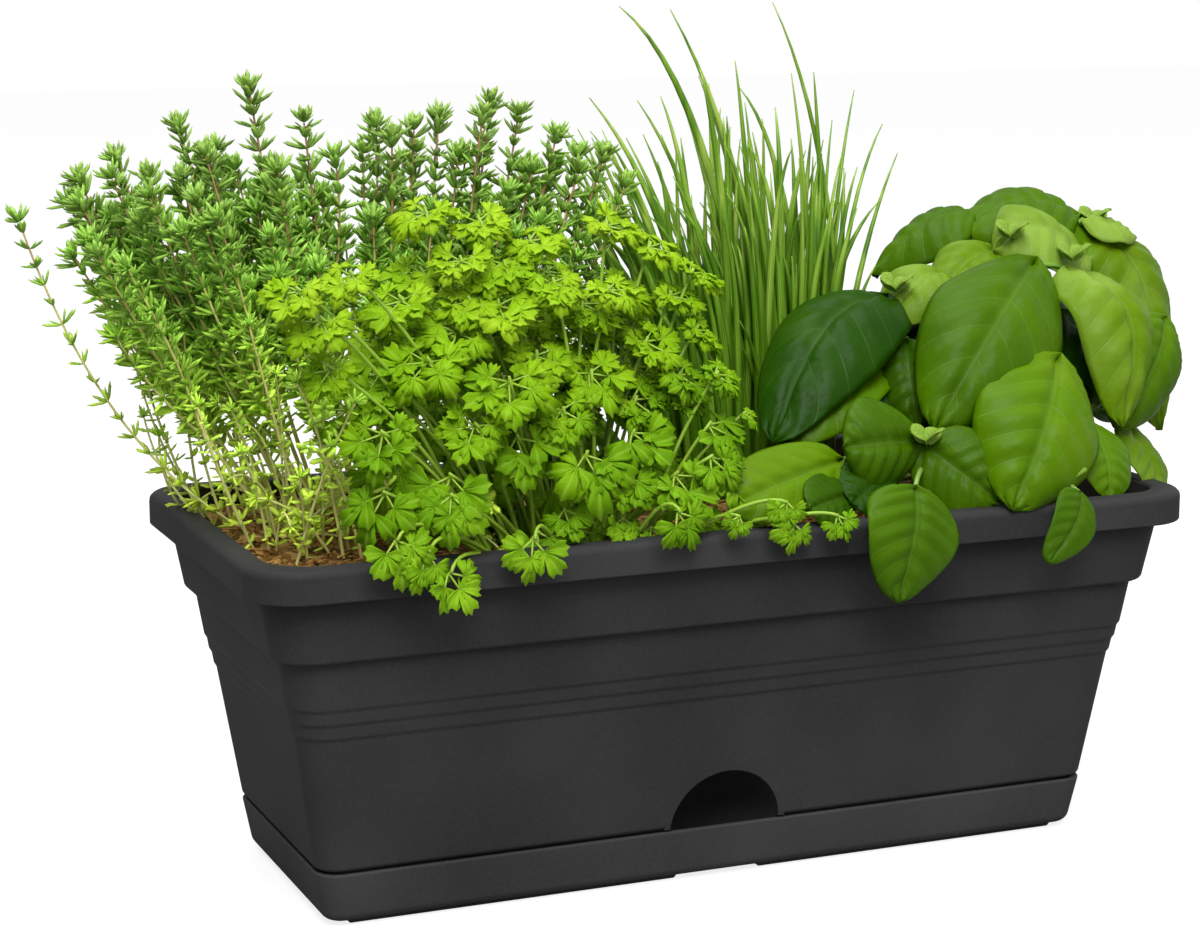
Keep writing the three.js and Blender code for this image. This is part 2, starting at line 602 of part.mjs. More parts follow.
// Basil: a few branching stems with broad domed leaves; a crest point bends a leaf over on its way to the tip
const BASIL_STEMS = sized([
  {
    foot: [5, -6], top: [20, -8, 64],
    leaves: [
      { base: [25, -10, 67], tip: [-28, -42, 22], width: 49 },
      { base: [36, -8, 66], tip: [54, -32, 38], width: 50 },
      { base: [55, 6, 65], crest: [33, 4, 88], tip: [17, 2, 69], width: 40 },
      { base: [26, 10, 66], crest: [13, 4, 76], tip: [-3, 2, 56], width: 38 },
    ],
  },
  {
    foot: [14, 8], top: [57, 16, 68],
    leaves: [
      { base: [58, 14, 72], crest: [93, 2, 68], tip: [83, -6, 8], width: 54 },
      { base: [67, -20, 48], tip: [42, -32, 16], width: 36 },
      { base: [41, 22, 72], crest: [65, 24, 86], tip: [83, 16, 56], width: 40 },
      { base: [59, 20, 77], crest: [41, 26, 93], tip: [17, 28, 72], width: 45 },
      { base: [45, 28, 50], tip: [77, 40, 18], width: 38 },
    ],
  },
  {
    foot: [-10, 0], top: [-16, 4, 54],
    leaves: [
      { base: [-21, 2, 56], crest: [-51, -8, 64], tip: [-74, -26, 18], width: 45 },
      { base: [1, 6, 62], crest: [-11, 0, 68], tip: [-23, -2, 48], width: 31 },
      { base: [-23, -14, 45], tip: [-26, -28, 20], width: 32 },
      { base: [-23, 0, 40], tip: [-68, -22, 16], width: 35 },
    ],
  },
  {
    foot: [-14, -16], top: [-32, -40, 20],
    leaves: [
      { base: [-33, -42, 19], tip: [-62, -48, 20], width: 34 },
      { base: [-59, -42, 15], tip: [-99, -51, 8], width: 25 },
      { base: [-32, -42, 18], tip: [-13, -53, 7], width: 26 },
      { base: [-40, -59, 14], crest: [-45, -76, 14], tip: [-53, -71, -22], width: 38, hangs: true },
    ],
  },
  {
    foot: [12, -16], top: [24, -32, 30],
    leaves: [
      { base: [26, -26, 39], tip: [-8, -54, 5], width: 48 },
      { base: [12, -60, 12], crest: [8, -75, 12], tip: [-2, -72, -14], width: 22, hangs: true },
    ],
  },
  {
    foot: [24, -2], top: [46, -16, 22],
    leaves: [{ base: [51, -22, 16], tip: [56, -34, 6], width: 25 }],
  },
  {
    foot: [2, 14], top: [22, 24, 64],
    leaves: [
      { base: [27, 32, 78], crest: [11, 38, 84], tip: [-6, 40, 58], width: 38 },
      { base: [17, 32, 52], tip: [35, 48, 18], width: 36 },
      { base: [29, 28, 64], tip: [57, 48, 44], width: 38 },
    ],
  },
]);
const BASIL_STEM = sized(2);
const BASIL_STEM_SIDES = 5;
const BASIL_STEM_STEPS = 2;
const BASIL_PETIOLE = sized(1.1);
const BASIL_PETIOLE_SIDES = 3;
const BASIL_FORK_DROP = sized(8);
const BASIL_FORK_LOWEST_SHARE = 0.2;
const BASIL_FORK_HIGHEST_SHARE = 0.97;
const BASIL_LEAF_THICKNESS = sized(1.4);
const BASIL_CUP_RATIO = 0.18;
const BASIL_HANGING_CUP_RATIO = 0.03;
const BASIL_LEAF_STEPS = 4;
const BASIL_BELLY_POWER = 0.8;
const BASIL_FULLNESS_POWER = 0.7;
const BASIL_HEART = sized([0, 4, 12]);
const BASIL_FACING = vec(-0.25, -0.5, 0.25);
const BASIL_DOME_RATIO = 0.16;

function basilLeaf(base, crest, tip, width, cup, facing) {
  const rib = arch(base, crest, tip);
  return loft(Array.from({ length: BASIL_LEAF_STEPS + 1 }, (_, step) => {
    const share = step / BASIL_LEAF_STEPS;
    const swell = Math.sin(Math.PI * share ** BASIL_BELLY_POWER) ** BASIL_FULLNESS_POWER;
    const half = (width * swell + BASIL_PETIOLE) / 2;
    const along = rib.getTangentAt(share);
    const side = facing.clone().cross(along).normalize();
    const normal = along.clone().cross(side);
    const centre = rib.getPointAt(share);
    const edge = centre.clone().addScaledVector(normal, -2 * cup * half);
    return [
      edge.clone().addScaledVector(side, half),
      centre.clone().addScaledVector(normal, BASIL_LEAF_THICKNESS / 2),
      edge.clone().addScaledVector(side, -half),
      centre.clone().addScaledVector(normal, -BASIL_LEAF_THICKNESS / 2),
    ];
  }));
}

function basil() {
  const heart = place(BASIL, ...BASIL_HEART);
  const growth = BASIL_STEMS.flatMap(({ foot, top, leaves }) => {
    const start = footOf(BASIL, ...foot);
    const end = place(BASIL, ...top);
    const line = new THREE.LineCurve3(start, end);
    const stalk = stem(line, BASIL_STEM, BASIL_PETIOLE, BASIL_STEM_SIDES, BASIL_STEM_STEPS);
    return [stalk, ...leaves.flatMap(({ base, crest, tip, width, hangs }) => {
      const [from, to] = [place(BASIL, ...base), place(BASIL, ...tip)];
      const middle = from.clone().lerp(to, 0.5);
      const out = middle.clone().sub(heart).normalize().add(BASIL_FACING);
      const facing = hangs ? vec(0, -1, 0) : out.normalize();
      const cup = hangs ? BASIL_HANGING_CUP_RATIO : BASIL_CUP_RATIO;
      const dome = 2 * BASIL_DOME_RATIO * from.distanceTo(to);
      const bend = crest ? place(BASIL, ...crest) : middle.addScaledVector(facing, dome);
      const height = (from.z - BASIL_FORK_DROP - start.z) / (end.z - start.z);
      const share = THREE.MathUtils.clamp(height, BASIL_FORK_LOWEST_SHARE, BASIL_FORK_HIGHEST_SHARE);
      const fork = line.getPoint(share);
      const way = new THREE.LineCurve3(fork, from);
      const petiole = stem(way, BASIL_PETIOLE, BASIL_PETIOLE, BASIL_PETIOLE_SIDES, 1);
      return [petiole, basilLeaf(from, bend, to, width, cup, facing)];
    })];
  });
  return plant(BASIL, growth);
}

const PLASTIC = { color: 0x2f3031, roughness: 0.62, metalness: 0 };
const PARTS = [
  ['saucer', saucer(), PLASTIC],
  ['trough', trough(), PLASTIC],
  ['potting_soil', pottingSoil(), { color: 0x33241a, roughness: 0.95, metalness: 0 }],
  ['thyme', thyme(), { color: 0x4a7a38, roughness: 0.7, metalness: 0 }],
  ['parsley', parsley(), { color: 0x6fa21c, roughness: 0.6, metalness: 0 }],
  ['chives', chives(), { color: 0x6aa334, roughness: 0.5, metalness: 0 }],
  ['basil', basil(), { color: 0x4f8a1e, roughness: 0.45, metalness: 0 }],
];

const planter = new THREE.Group();
for (const [name, body, look] of PARTS) {
  const mesh = new THREE.Mesh(geometryOf(body), new THREE.MeshStandardMaterial(look));
  mesh.name = name;
  planter.add(mesh);
}

export default planter;
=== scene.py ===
import math
import random

import bmesh
import bpy
from bpy.props import FloatProperty, FloatVectorProperty, IntProperty, PointerProperty
from bpy.types import Operator, Panel, PropertyGroup
from mathutils import Matrix, Quaternion, Vector, noise
from mathutils.geometry import interpolate_bezier


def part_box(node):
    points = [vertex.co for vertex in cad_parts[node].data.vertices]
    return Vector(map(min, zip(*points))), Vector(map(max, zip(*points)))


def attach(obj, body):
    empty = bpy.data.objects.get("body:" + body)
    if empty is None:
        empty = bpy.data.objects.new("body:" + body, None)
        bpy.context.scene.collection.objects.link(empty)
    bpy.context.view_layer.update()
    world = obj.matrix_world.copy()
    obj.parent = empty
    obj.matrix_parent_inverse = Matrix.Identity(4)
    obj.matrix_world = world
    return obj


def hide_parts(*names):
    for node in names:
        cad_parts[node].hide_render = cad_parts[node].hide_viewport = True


bl_info = {
    "name": "Balcony planter",
    "version": (1, 0, 0),
    "blender": (4, 5, 0),
    "location": "View3D > Sidebar > Planter",
    "description": "Models a planted balcony trough in its saucer around the packed frame",
    "category": "Object",
}

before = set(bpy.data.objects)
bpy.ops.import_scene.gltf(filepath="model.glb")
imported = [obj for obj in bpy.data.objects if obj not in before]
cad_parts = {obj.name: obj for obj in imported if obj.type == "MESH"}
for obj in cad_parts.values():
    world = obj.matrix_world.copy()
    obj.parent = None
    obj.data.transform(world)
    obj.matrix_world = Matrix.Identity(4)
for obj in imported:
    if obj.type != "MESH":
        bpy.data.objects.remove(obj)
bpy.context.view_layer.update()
TROUGH_LOW, TROUGH_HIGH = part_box("trough")
SAUCER_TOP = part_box("saucer")[1].z
SOIL_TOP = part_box("potting_soil")[1].z
MM = 0.001
UP = Vector((0, 0, 1))
GOLDEN_ANGLE = math.pi * (3 - math.sqrt(5))
FULL_TURN = 6.28
# Height in millimetres at which the stems start, under the soil's surface
ROOT_LEVEL = 100


def mm(x, y, z):
    """A point given in millimetres, in the frame's metres."""
    return Vector((x, y, z)) * MM


def linear(code):
    """An sRGB hex colour as linear RGBA."""
    parts = [int(code[i:i + 2], 16) / 255 for i in (1, 3, 5)]
    return tuple(c / 12.92 if c <= 0.04045 else ((c + 0.055) / 1.055) ** 2.4 for c in parts) + (1.0,)


def per(size):
    """Pattern scale for features of a size in millimetres."""
    return 1 / (size * MM)


def scatter(index, salt):
    """A repeatable number between -0.5 and 0.5 for the natural spread of stems and leaves."""
    value = math.sin(index * 12.9898 + salt * 78.233) * 43758.5453
    return value - math.floor(value) - 0.5


def disc(count):
    """Evenly spread places in a disc of unit radius."""
    turns = [(math.sqrt((i + 0.5) / count), i * GOLDEN_ANGLE) for i in range(count)]
    return [(radius * math.cos(turn), radius * math.sin(turn)) for radius, turn in turns]


def length_of(name, description, default):
    return FloatProperty(name=name, description=description, default=default, unit="LENGTH", precision=4)


def colour_of(name, description, code):
    return FloatVectorProperty(name=name, description=description, default=linear(code), size=4,
                               min=0, max=1, subtype="COLOR")


class PlanterMoulding(PropertyGroup):
    length: length_of("Rim length", "Length over the rim", TROUGH_HIGH.x - TROUGH_LOW.x)
    width: length_of("Rim width", "Width over the rim", TROUGH_HIGH.y - TROUGH_LOW.y)
    height: length_of("Rim height", "Height of the rim above the ground", TROUGH_HIGH.z)
    wall: length_of("Wall", "Wall thickness of both mouldings", 2 * MM)
    rim_skirt: length_of("Rim skirt", "Height of the rim's outer face", 9.5 * MM)
    rim_round: length_of("Rim rounding", "Rounding of the rim's outer edge", 2.4 * MM)
    rim_corner: length_of("Rim corner", "Corner radius of the rim in plan", 16 * MM)
    corner_share: FloatProperty(
        name="Corner share", description="Corner radius lost for each length of inset", default=0.39)
    band_height: length_of("Band height", "Height of the upright band below the rim", 19.5 * MM)
    band_top: length_of("Band top inset", "Inset of the band under the rim", 5.6 * MM)
    band_foot: length_of("Band foot inset", "Inset of the band's lower edge", 9 * MM)
    body_top: length_of("Body top inset", "Inset of the body under the band", 11.6 * MM)
    body_foot: length_of("Body foot inset", "Inset of the body's foot", 23.2 * MM)
    step_count: IntProperty(name="Steps", description="Shallow steps round the body", default=3)
    step_drop: length_of("Step drop", "First step below the band", 14.5 * MM)
    step_pitch: length_of("Step pitch", "Distance between the steps", 4.5 * MM)
    step_depth: length_of("Step depth", "How far each step goes in", 0.5 * MM)
    saucer_lip: length_of("Saucer lip inset", "Inset of the saucer's lip", 23 * MM)
    saucer_base: length_of("Saucer base inset", "Inset of the saucer's base", 25.8 * MM)
    saucer_round: length_of("Saucer rounding", "Rounding of the saucer's lower edge", 3 * MM)
    rail_height: length_of("Foot rail height", "Height of the foot rails", 1.3 * MM)
    rail_width: length_of("Foot rail width", "Width of the foot rails", 6 * MM)
    rail_inset: length_of("Foot rail inset", "Inset of the foot rails' ends and middle lines", 32 * MM)
    rail_notch: length_of("Foot rail gap", "Half of the gap between two foot rails", 12.7 * MM)
    plinth_gap: length_of("Plinth gap", "Gap between the plinth and the saucer's wall", 0.9 * MM)
    plinth_rest: length_of("Plinth rest", "Height of the plinth's foot above the saucer's floor", 0.3 * MM)
    reservoir: length_of("Reservoir", "Height of the trough's underside above the saucer's floor", 5.7 * MM)
    drain_radius: length_of("Drain radius", "Radius of the drain holes", 3 * MM)
    soil_gap: length_of("Soil gap", "Gap between the soil and the trough's walls", 0.3 * MM)
    shadow_gap: length_of("Shadow gap", "Gap between the saucer's lip and the body", 0.8 * MM)
    mouth_radius: length_of("Mouth radius", "Radius of the watering mouth", 18 * MM)
    mouth_depth: length_of("Mouth depth", "Depth of the watering mouth", 20 * MM)


class PlanterHerbs(PropertyGroup):
    thyme_fill: IntProperty(name="Thyme sprigs", description="Sprigs between the outer ones", default=10)
    thyme_runners: IntProperty(name="Thyme runners", description="Low shoots over the soil", default=48)
    thyme_aside: IntProperty(name="Thyme end", description="Shoots at the bush's outer end", default=16)
    thyme_leaf: length_of("Thyme leaf", "Length of a thyme leaf", 7.4 * MM)
    thyme_node: length_of("Thyme node spacing", "Distance between pairs of thyme leaves", 4 * MM)
    parsley_fan: length_of("Parsley leaflet", "Length of a parsley leaflet", 7.4 * MM)
    parsley_arm: length_of("Parsley arm", "Distance from a parsley leaf's fork to its leaflets", 6.8 * MM)
    parsley_fill: IntProperty(name="Parsley fill", description="Leaves inside the clump", default=42)
    chive_count: IntProperty(name="Chive leaves", description="Leaves in the tuft", default=250)
    chive_radius: length_of("Chive radius", "Radius of a chive leaf", 1.5 * MM)
    parsley_thickness: length_of("Parsley leaf thickness", "Thickness of a parsley leaflet", 0.3 * MM)
    basil_thickness: length_of("Basil leaf thickness", "Thickness of a basil leaf", 0.45 * MM)
    crumbs: IntProperty(name="Crumbs", description="Crumbs and bark chips on the soil", default=1500)
    fibres: IntProperty(name="Fibres", description="Fibres on the soil", default=260)
    seed: IntProperty(name="Seed", description="Start of the natural spread", default=7)


class PlanterColours(PropertyGroup):
    plastic: colour_of("Plastic", "Charcoal of both mouldings", "#353536")
    plastic_pale: colour_of("Plastic, pale", "Charcoal where the grain catches light", "#434344")
    soil_dark: colour_of("Soil, dark", "Moist peat", "#4a3416")
    soil_pale: colour_of("Soil, pale", "Dry crumbs and fibres", "#bd9152")
    thyme_old: colour_of("Thyme, upper", "Upper thyme leaves", "#84a64a")
    # The lower thyme colour is the young leaves' yellow-green, made brighter as painted light for the shaded
    # low leaves.
    thyme_young_and_lit: colour_of("Thyme, lower", "Thyme leaves near the soil", "#d6f04c")
    # The parsley's dark is painted shade inside the clump and its pale is painted light on the outer leaves
    # high up.
    parsley_dark: colour_of("Parsley, dark", "Inner parsley leaves", "#669806")
    parsley_pale: colour_of("Parsley, pale", "Outer parsley leaves", "#a2c624")
    chive_dark: colour_of("Chives, dark", "Shaded chive leaves", "#4a780c")
    chive_pale: colour_of("Chives, pale", "Light chive leaves", "#aecb58")
    # The basil's dark green is the old leaves' colour and also painted shade for leaves inside the plant.
    basil_dark: colour_of("Basil, dark", "Old basil leaves", "#123000")
    basil_pale: colour_of("Basil, pale", "Young basil leaves", "#84a53c")


def feed(tree, node, sets):
    """Sets a node's settings and inputs. An input can also be joined to an output or a node's first one."""
    for name, value in sets.items():
        if isinstance(value, bpy.types.Node):
            value = value.outputs[0]
        if isinstance(value, bpy.types.NodeSocket):
            tree.links.new(value, node.inputs[name])
        elif name == "stops":
            while len(node.color_ramp.elements) < len(value):
                node.color_ramp.elements.new(1)
            for element, (position, colour) in zip(node.color_ramp.elements, value):
                element.position = position
                element.color = colour
        elif isinstance(name, str) and hasattr(node, name):
            setattr(node, name, value)
        else:
            node.inputs[name].default_value = value
    return node


def add(tree, kind, sets=()):
    """Adds one shader node and sets it up."""
    return feed(tree, tree.nodes.new("ShaderNode" + kind), dict(sets))


def finish_of(name, sets):
    """A material with its shader's plain values set. Returns the material, its tree and its shader."""
    material = bpy.data.materials.new(name)
    material.use_nodes = True
    tree = material.node_tree
    return material, tree, feed(tree, tree.nodes["Principled BSDF"], sets)


def zones_by_height(tree, spot, stops, blotch, detail, drift, low, high):
    """Colours from low to high, all in millimetres, that drift in blotches so that no edge runs level."""
    place = add(tree, "SeparateXYZ", {"Vector": spot})
    cloud = add(tree, "TexNoise", {"Scale": per(blotch), "Detail": detail, "Vector": spot})
    level = add(tree, "Math", {"operation": "MULTIPLY_ADD", 0: cloud, 1: drift * MM, 2: place.outputs["Z"]})
    share = add(tree, "MapRange", {"From Min": low * MM, "From Max": high * MM, "Value": level})
    return add(tree, "ValToRGB", {"stops": stops, "Fac": share})


def moulded_polypropylene(name, colours, painted_light_lift):
    # Polypropylene moulded against a spark-eroded tool: a fine even grain, so the charcoal has a soft, broken
    # shine and no reflections. The grain is 0.3 mm in life and drawn at 1 mm so that it shows. Hollows, such
    # as the corners under the steps and the inside of the mouth, are darkened with painted shade from an
    # occlusion node.
    material, tree, shader = finish_of(name, {"IOR": 1.49, "Specular IOR Level": 0.05})
    spot = add(tree, "TexCoord").outputs["Object"]
    grain = add(tree, "TexNoise", {"Scale": per(1), "Detail": 3, "Roughness": 0.6, "Vector": spot})
    cloud = add(tree, "TexNoise", {"Scale": per(60), "Detail": 2, "Vector": spot})
    tone = add(tree, "Math", {"operation": "MULTIPLY_ADD", 0: grain, 1: 0.45, 2: cloud})
    stops = [(0.5, colours.plastic), (0.95, colours.plastic_pale)]
    colour = add(tree, "ValToRGB", {"stops": stops, "Fac": tone})
    # Painted shade: the occlusion node darkens the colour in the moulding's own hollows.
    hollow = add(tree, "AmbientOcclusion", {"samples": 8, "only_local": True, "Distance": 30 * MM})
    # The lift multiplies the colour. Above 1 it is painted light: the saucer has the trough's charcoal but
    # gets less light.
    shade = add(tree, "MapRange", {"From Min": 0.3, "From Max": 0.86, "To Min": 0.04 * painted_light_lift, "To Max": painted_light_lift,
                                   "Value": hollow.outputs["AO"]})
    shaded = add(tree, "VectorMath", {"operation": "MULTIPLY", 0: colour, 1: shade})
    gloss = add(tree, "MapRange", {"To Min": 0.44, "To Max": 0.62, "Value": grain})
    bump = add(tree, "Bump", {"Strength": 0.35, "Distance": 0.08 * MM, "Height": grain})
    feed(tree, shader, {"Base Color": shaded, "Roughness": gloss, "Normal": bump})
    return material


def potting_mix(colours):
    # Peat with composted bark: matt, in crumbs about 2.6 mm wide, dark where moist and paler where dry.
    material, tree, shader = finish_of("potting_mix", {"Roughness": 0.95, "Specular IOR Level": 0.25})
    spot = add(tree, "TexCoord").outputs["Object"]
    crumbs = add(tree, "TexVoronoi", {"Scale": per(2.6), "Randomness": 1, "Vector": spot})
    fine = add(tree, "TexNoise", {"Scale": per(1.6), "Detail": 6, "Roughness": 0.7, "Vector": spot})
    parts = add(tree, "SeparateColor", {"Color": crumbs.outputs["Color"]})
    even = add(tree, "MapRange", {"To Min": 0.35, "To Max": 0.95, "Value": parts})
    tone = add(tree, "Math", {"operation": "MULTIPLY", 0: even, 1: fine})
    stops = [(0.15, colours.soil_dark), (0.25, linear("#7c5826")), (0.45, colours.soil_pale),
             (0.6, linear("#dcc084"))]
    colour = add(tree, "ValToRGB", {"stops": stops, "Fac": tone})
    bump = add(tree, "Bump", {"Strength": 0.8, "Distance": 0.8 * MM, "Height": fine})
    feed(tree, shader, {"Base Color": colour, "Normal": bump})
    return material


def thyme_foliage(colours):
    # Thyme leaf: small, leathery and finely haired, so a soft sheen; grey-green high up, yellow-green near
    # the soil, where the young leaves' colour is made brighter still as painted light for the low leaves in
    # the bush's shade. Each leaf has its own tone and is paler towards its tip.
    material, tree, shader = finish_of("thyme_foliage", {"Roughness": 0.5, "Specular IOR Level": 0.25})
    coords = add(tree, "TexCoord")
    spot = coords.outputs["Object"]
    leaf = add(tree, "SeparateXYZ", {"Vector": coords.outputs["UV"]})
    stops = [(0.0, colours.thyme_young_and_lit), (0.3, linear("#c2ea50")), (0.6, linear("#8cbc42")),
             (1.0, colours.thyme_old)]
    zone = zones_by_height(tree, spot, stops, blotch=28, detail=2, drift=50, low=135, high=250)
    tone = add(tree, "MapRange", {"To Min": 0.6, "To Max": 1.35, "Value": leaf.outputs["X"]})
    light = add(tree, "MapRange", {"To Min": 0.85, "To Max": 1.3, "Value": leaf.outputs["Y"]})
    shade = add(tree, "Math", {"operation": "MULTIPLY", 0: tone, 1: light})
    feed(tree, shader, {"Base Color": add(tree, "VectorMath", {"operation": "MULTIPLY", 0: zone, 1: shade})})
    return material


def thyme_wood():
    # Thyme stem: thin and woody, pink-brown where old and pale yellow where young, low down; that yellow is
    # made brighter than the stems' own as painted light for the shade low in the bush.
    material, tree, shader = finish_of("thyme_wood", {"Roughness": 0.65})
    spot = add(tree, "TexCoord").outputs["Object"]
    stops = [(0.0, linear("#f2f29a")), (0.35, linear("#e6da80")), (0.6, linear("#b58a62")),
             (1.0, linear("#a87a63"))]
    colour = zones_by_height(tree, spot, stops, blotch=14, detail=3, drift=90, low=175, high=300)
    feed(tree, shader, {"Base Color": colour})
    return material


def parsley_foliage(colours):
    # Parsley leaf: thin, soft and pleated along its veins, yellow-green, brighter on the outer leaves high up
    # with painted light and darker inside the clump with painted shade; the lowest leaves are paler again.
    material, tree, shader = finish_of("parsley_foliage", {"Roughness": 0.6, "Specular IOR Level": 0.1})
    coords = add(tree, "TexCoord")
    spot = coords.outputs["Object"]
    flat = add(tree, "SeparateXYZ", {"Vector": coords.outputs["UV"]})
    # Painted shade and light: the dark stop darkens the inside of the clump and the pale stop lightens its
    # outer top.
    stops = [(0.0, linear("#8cbc1c")), (0.35, colours.parsley_dark), (0.65, linear("#88b60e")),
             (1.0, colours.parsley_pale)]
    zone = zones_by_height(tree, spot, stops, blotch=22, detail=3, drift=130, low=150, high=280)
    ray = add(tree, "Math", {"operation": "PINGPONG", 0: flat.outputs["X"], 1: 0.5})
    vein = add(tree, "MapRange", {"From Min": 0.4, "From Max": 0.5, "To Min": 0, "To Max": 0.3, "Value": ray})
    colour = add(tree, "Mix", {"data_type": "RGBA", 0: vein, 6: zone, 7: linear("#b4cf50")})
    fine = add(tree, "TexNoise", {"Scale": per(2.2), "Detail": 2, "Vector": spot})
    bump = add(tree, "Bump", {"Strength": 0.4, "Distance": 0.4 * MM, "Height": fine})
    feed(tree, shader, {"Base Color": colour.outputs[2], "Normal": bump})
    return material


def green_stalk(name, low, high):
    # Soft herb stalk: watery and ribbed, paler towards the soil, with a satin skin.
    material, tree, shader = finish_of(name, {"Roughness": 0.4})
    spot = add(tree, "TexCoord").outputs["Object"]
    stops = [(0, linear(low)), (1, linear(high))]
    colour = zones_by_height(tree, spot, stops, blotch=9, detail=2, drift=40, low=120, high=200)
    feed(tree, shader, {"Base Color": colour})
    return material


def chive_skin(colours):
    # Chive leaf: a hollow waxy tube with fine lengthwise streaks, about 8 round its girth, and darker towards
    # the soil, where the tuft is dense, as painted shade. Neighbouring leaves differ in tone.
    material, tree, shader = finish_of("chive_skin", {"Roughness": 0.4, "Specular IOR Level": 0.35})
    coords = add(tree, "TexCoord")
    flat = add(tree, "Mapping", {"Scale": (8, 0.6, 1), "Vector": coords.outputs["UV"]})
    streak = add(tree, "TexNoise", {"Scale": 1, "Detail": 2, "Vector": flat})
    flow = add(tree, "Mapping", {"Scale": (per(4), per(4), per(150)), "Vector": coords.outputs["Object"]})
    leaves = add(tree, "TexNoise", {"Scale": 1, "Detail": 1, "Vector": flow})
    tone = add(tree, "Math", {"operation": "ADD", 0: streak, 1: leaves})
    place = add(tree, "SeparateXYZ", {"Vector": coords.outputs["Object"]})
    # Painted shade: the colour darkens towards the soil, where the crowded leaves shade each other.
    painted_base_shade = add(tree, "MapRange", {"From Min": 0.11, "From Max": 0.2, "To Min": -0.16, "To Max": 0.01,
                                  "Value": place.outputs["Z"]})
    half = add(tree, "Math", {"operation": "MULTIPLY_ADD", 0: tone, 1: 0.5, 2: painted_base_shade})
    stops = [(0.38, colours.chive_dark), (0.5, linear("#7cab2a")), (0.6, colours.chive_pale)]
    feed(tree, shader, {"Base Color": add(tree, "ValToRGB", {"stops": stops, "Fac": half})})
    return material


def basil_foliage(colours):
    # Basil leaf: broad, oily and satin-bright, with a sunken midrib, paler veins and skin puckered between
    # them.
    material, tree, shader = finish_of("basil_foliage", {"Roughness": 0.38, "Specular IOR Level": 0.1})
    coords = add(tree, "TexCoord")
    spot = coords.outputs["Object"]
    flat = add(tree, "SeparateXYZ", {"Vector": coords.outputs["UV"]})
    across = add(tree, "Math", {"operation": "ADD", 0: flat.outputs["X"], 1: -0.5})
    aside = add(tree, "Math", {"operation": "ABSOLUTE", 0: across})
    slant = add(tree, "Math", {"operation": "MULTIPLY", 0: aside, 1: -VEIN_SLANT * 2})
    count = add(tree, "Math", {"operation": "MULTIPLY_ADD", 0: flat.outputs["Y"], 1: VEIN_PAIRS, 2: slant})
    saw = add(tree, "Math", {"operation": "PINGPONG", 0: count, 1: 0.5})
    side = add(tree, "MapRange", {"From Max": 0.05, "To Min": 0.8, "To Max": 0, "Value": saw})
    rib = add(tree, "MapRange", {"From Max": 0.025, "To Min": 1, "To Max": 0, "Value": aside})
    vein = add(tree, "Math", {"operation": "MAXIMUM", 0: side, 1: rib})
    drift = add(tree, "TexNoise", {"Scale": per(30), "Detail": 3, "Vector": spot})
    # The tone attribute holds each leaf's age and, for leaves inside the plant, painted shade.
    age_and_shade = add(tree, "Attribute", {"attribute_name": "tone"}).outputs["Fac"]
    tone = add(tree, "Math", {"operation": "MULTIPLY_ADD", 0: drift, 1: 0.4, 2: age_and_shade})
    fade = add(tree, "Math", {"operation": "MULTIPLY", 0: tone, 1: 0.17})
    soft = add(tree, "Math", {"operation": "MULTIPLY", 0: vein, 1: fade})
    stops = [(0.2, colours.basil_dark), (0.35, linear("#1f4600")), (0.6, linear("#3f6400")),
             (0.8, linear("#578002")), (0.9, linear("#638608")), (1.0, colours.basil_pale)]
    zone = add(tree, "ValToRGB", {"stops": stops, "Fac": tone})
    colour = add(tree, "Mix", {"data_type": "RGBA", 0: soft, 6: zone, 7: linear("#8fb25a")})
    skin = add(tree, "TexVoronoi", {"Scale": per(2.6), "feature": "SMOOTH_F1", "Vector": spot})
    relief = add(tree, "Math", {"operation": "MULTIPLY_ADD", 0: vein, 1: -0.6, 2: skin.outputs["Distance"]})
    bump = add(tree, "Bump", {"Strength": 0.35, "Distance": 0.5 * MM, "Height": relief})
    feed(tree, shader, {"Base Color": colour.outputs[2], "Normal": bump})
    return material


def mesh_from(bm):
    """Turns a bmesh into a mesh and frees it."""
    mesh = bpy.data.meshes.new("shape")
    bm.to_mesh(mesh)
    bm.free()
    return mesh


def drop(*meshes):
    """Removes meshes that have done their work."""
    for mesh in meshes:
        bpy.data.meshes.remove(mesh)


def take(bm, mesh):
    """Adds a finished mesh to a bmesh and drops it."""
    bm.from_mesh(mesh)
    drop(mesh)


def round_off(bm, geom, offset, segments, affect="EDGES", clamp=False):
    """Rounds edges, or corners in plan."""
    bmesh.ops.bevel(bm, geom=geom, offset=offset, offset_type="OFFSET", segments=segments, profile=0.5,
                    affect=affect, material=-1, clamp_overlap=clamp)


def close_below(bm, level):
    """Draws a sheet's open edge down to a level and closes it there."""
    rim = [edge for edge in bm.edges if edge.is_boundary]
    for part in bmesh.ops.extrude_edge_only(bm, edges=rim)["geom"]:
        if isinstance(part, bmesh.types.BMVert):
            part.co.z = level
    bmesh.ops.contextual_create(bm, geom=[edge for edge in bm.edges if edge.is_boundary])
    bmesh.ops.recalc_face_normals(bm, faces=bm.faces[:])


def map_flat(faces, layer, place):
    """Gives each corner of some faces its place on the flat map, worked out from where its vertex is."""
    for face in faces:
        for corner in face.loops:
            corner[layer].uv = place(corner.vert.co)


def show(name, mesh, material, node=None, body="trough", smooth=180):
    """Puts one finished piece in the scene, on its body, in place of its CAD node.

    Edges that turn by more than smooth degrees stay sharp.
    """
    mesh.name = name
    mesh.materials.clear()
    mesh.materials.append(material)
    mesh.shade_smooth()
    if smooth < 180:
        mesh.set_sharp_from_angle(angle=math.radians(smooth))
    piece = bpy.data.objects.new(name, mesh)
    bpy.context.scene.collection.objects.link(piece)
    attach(piece, body)
    if node:
        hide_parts(node)
    return piece


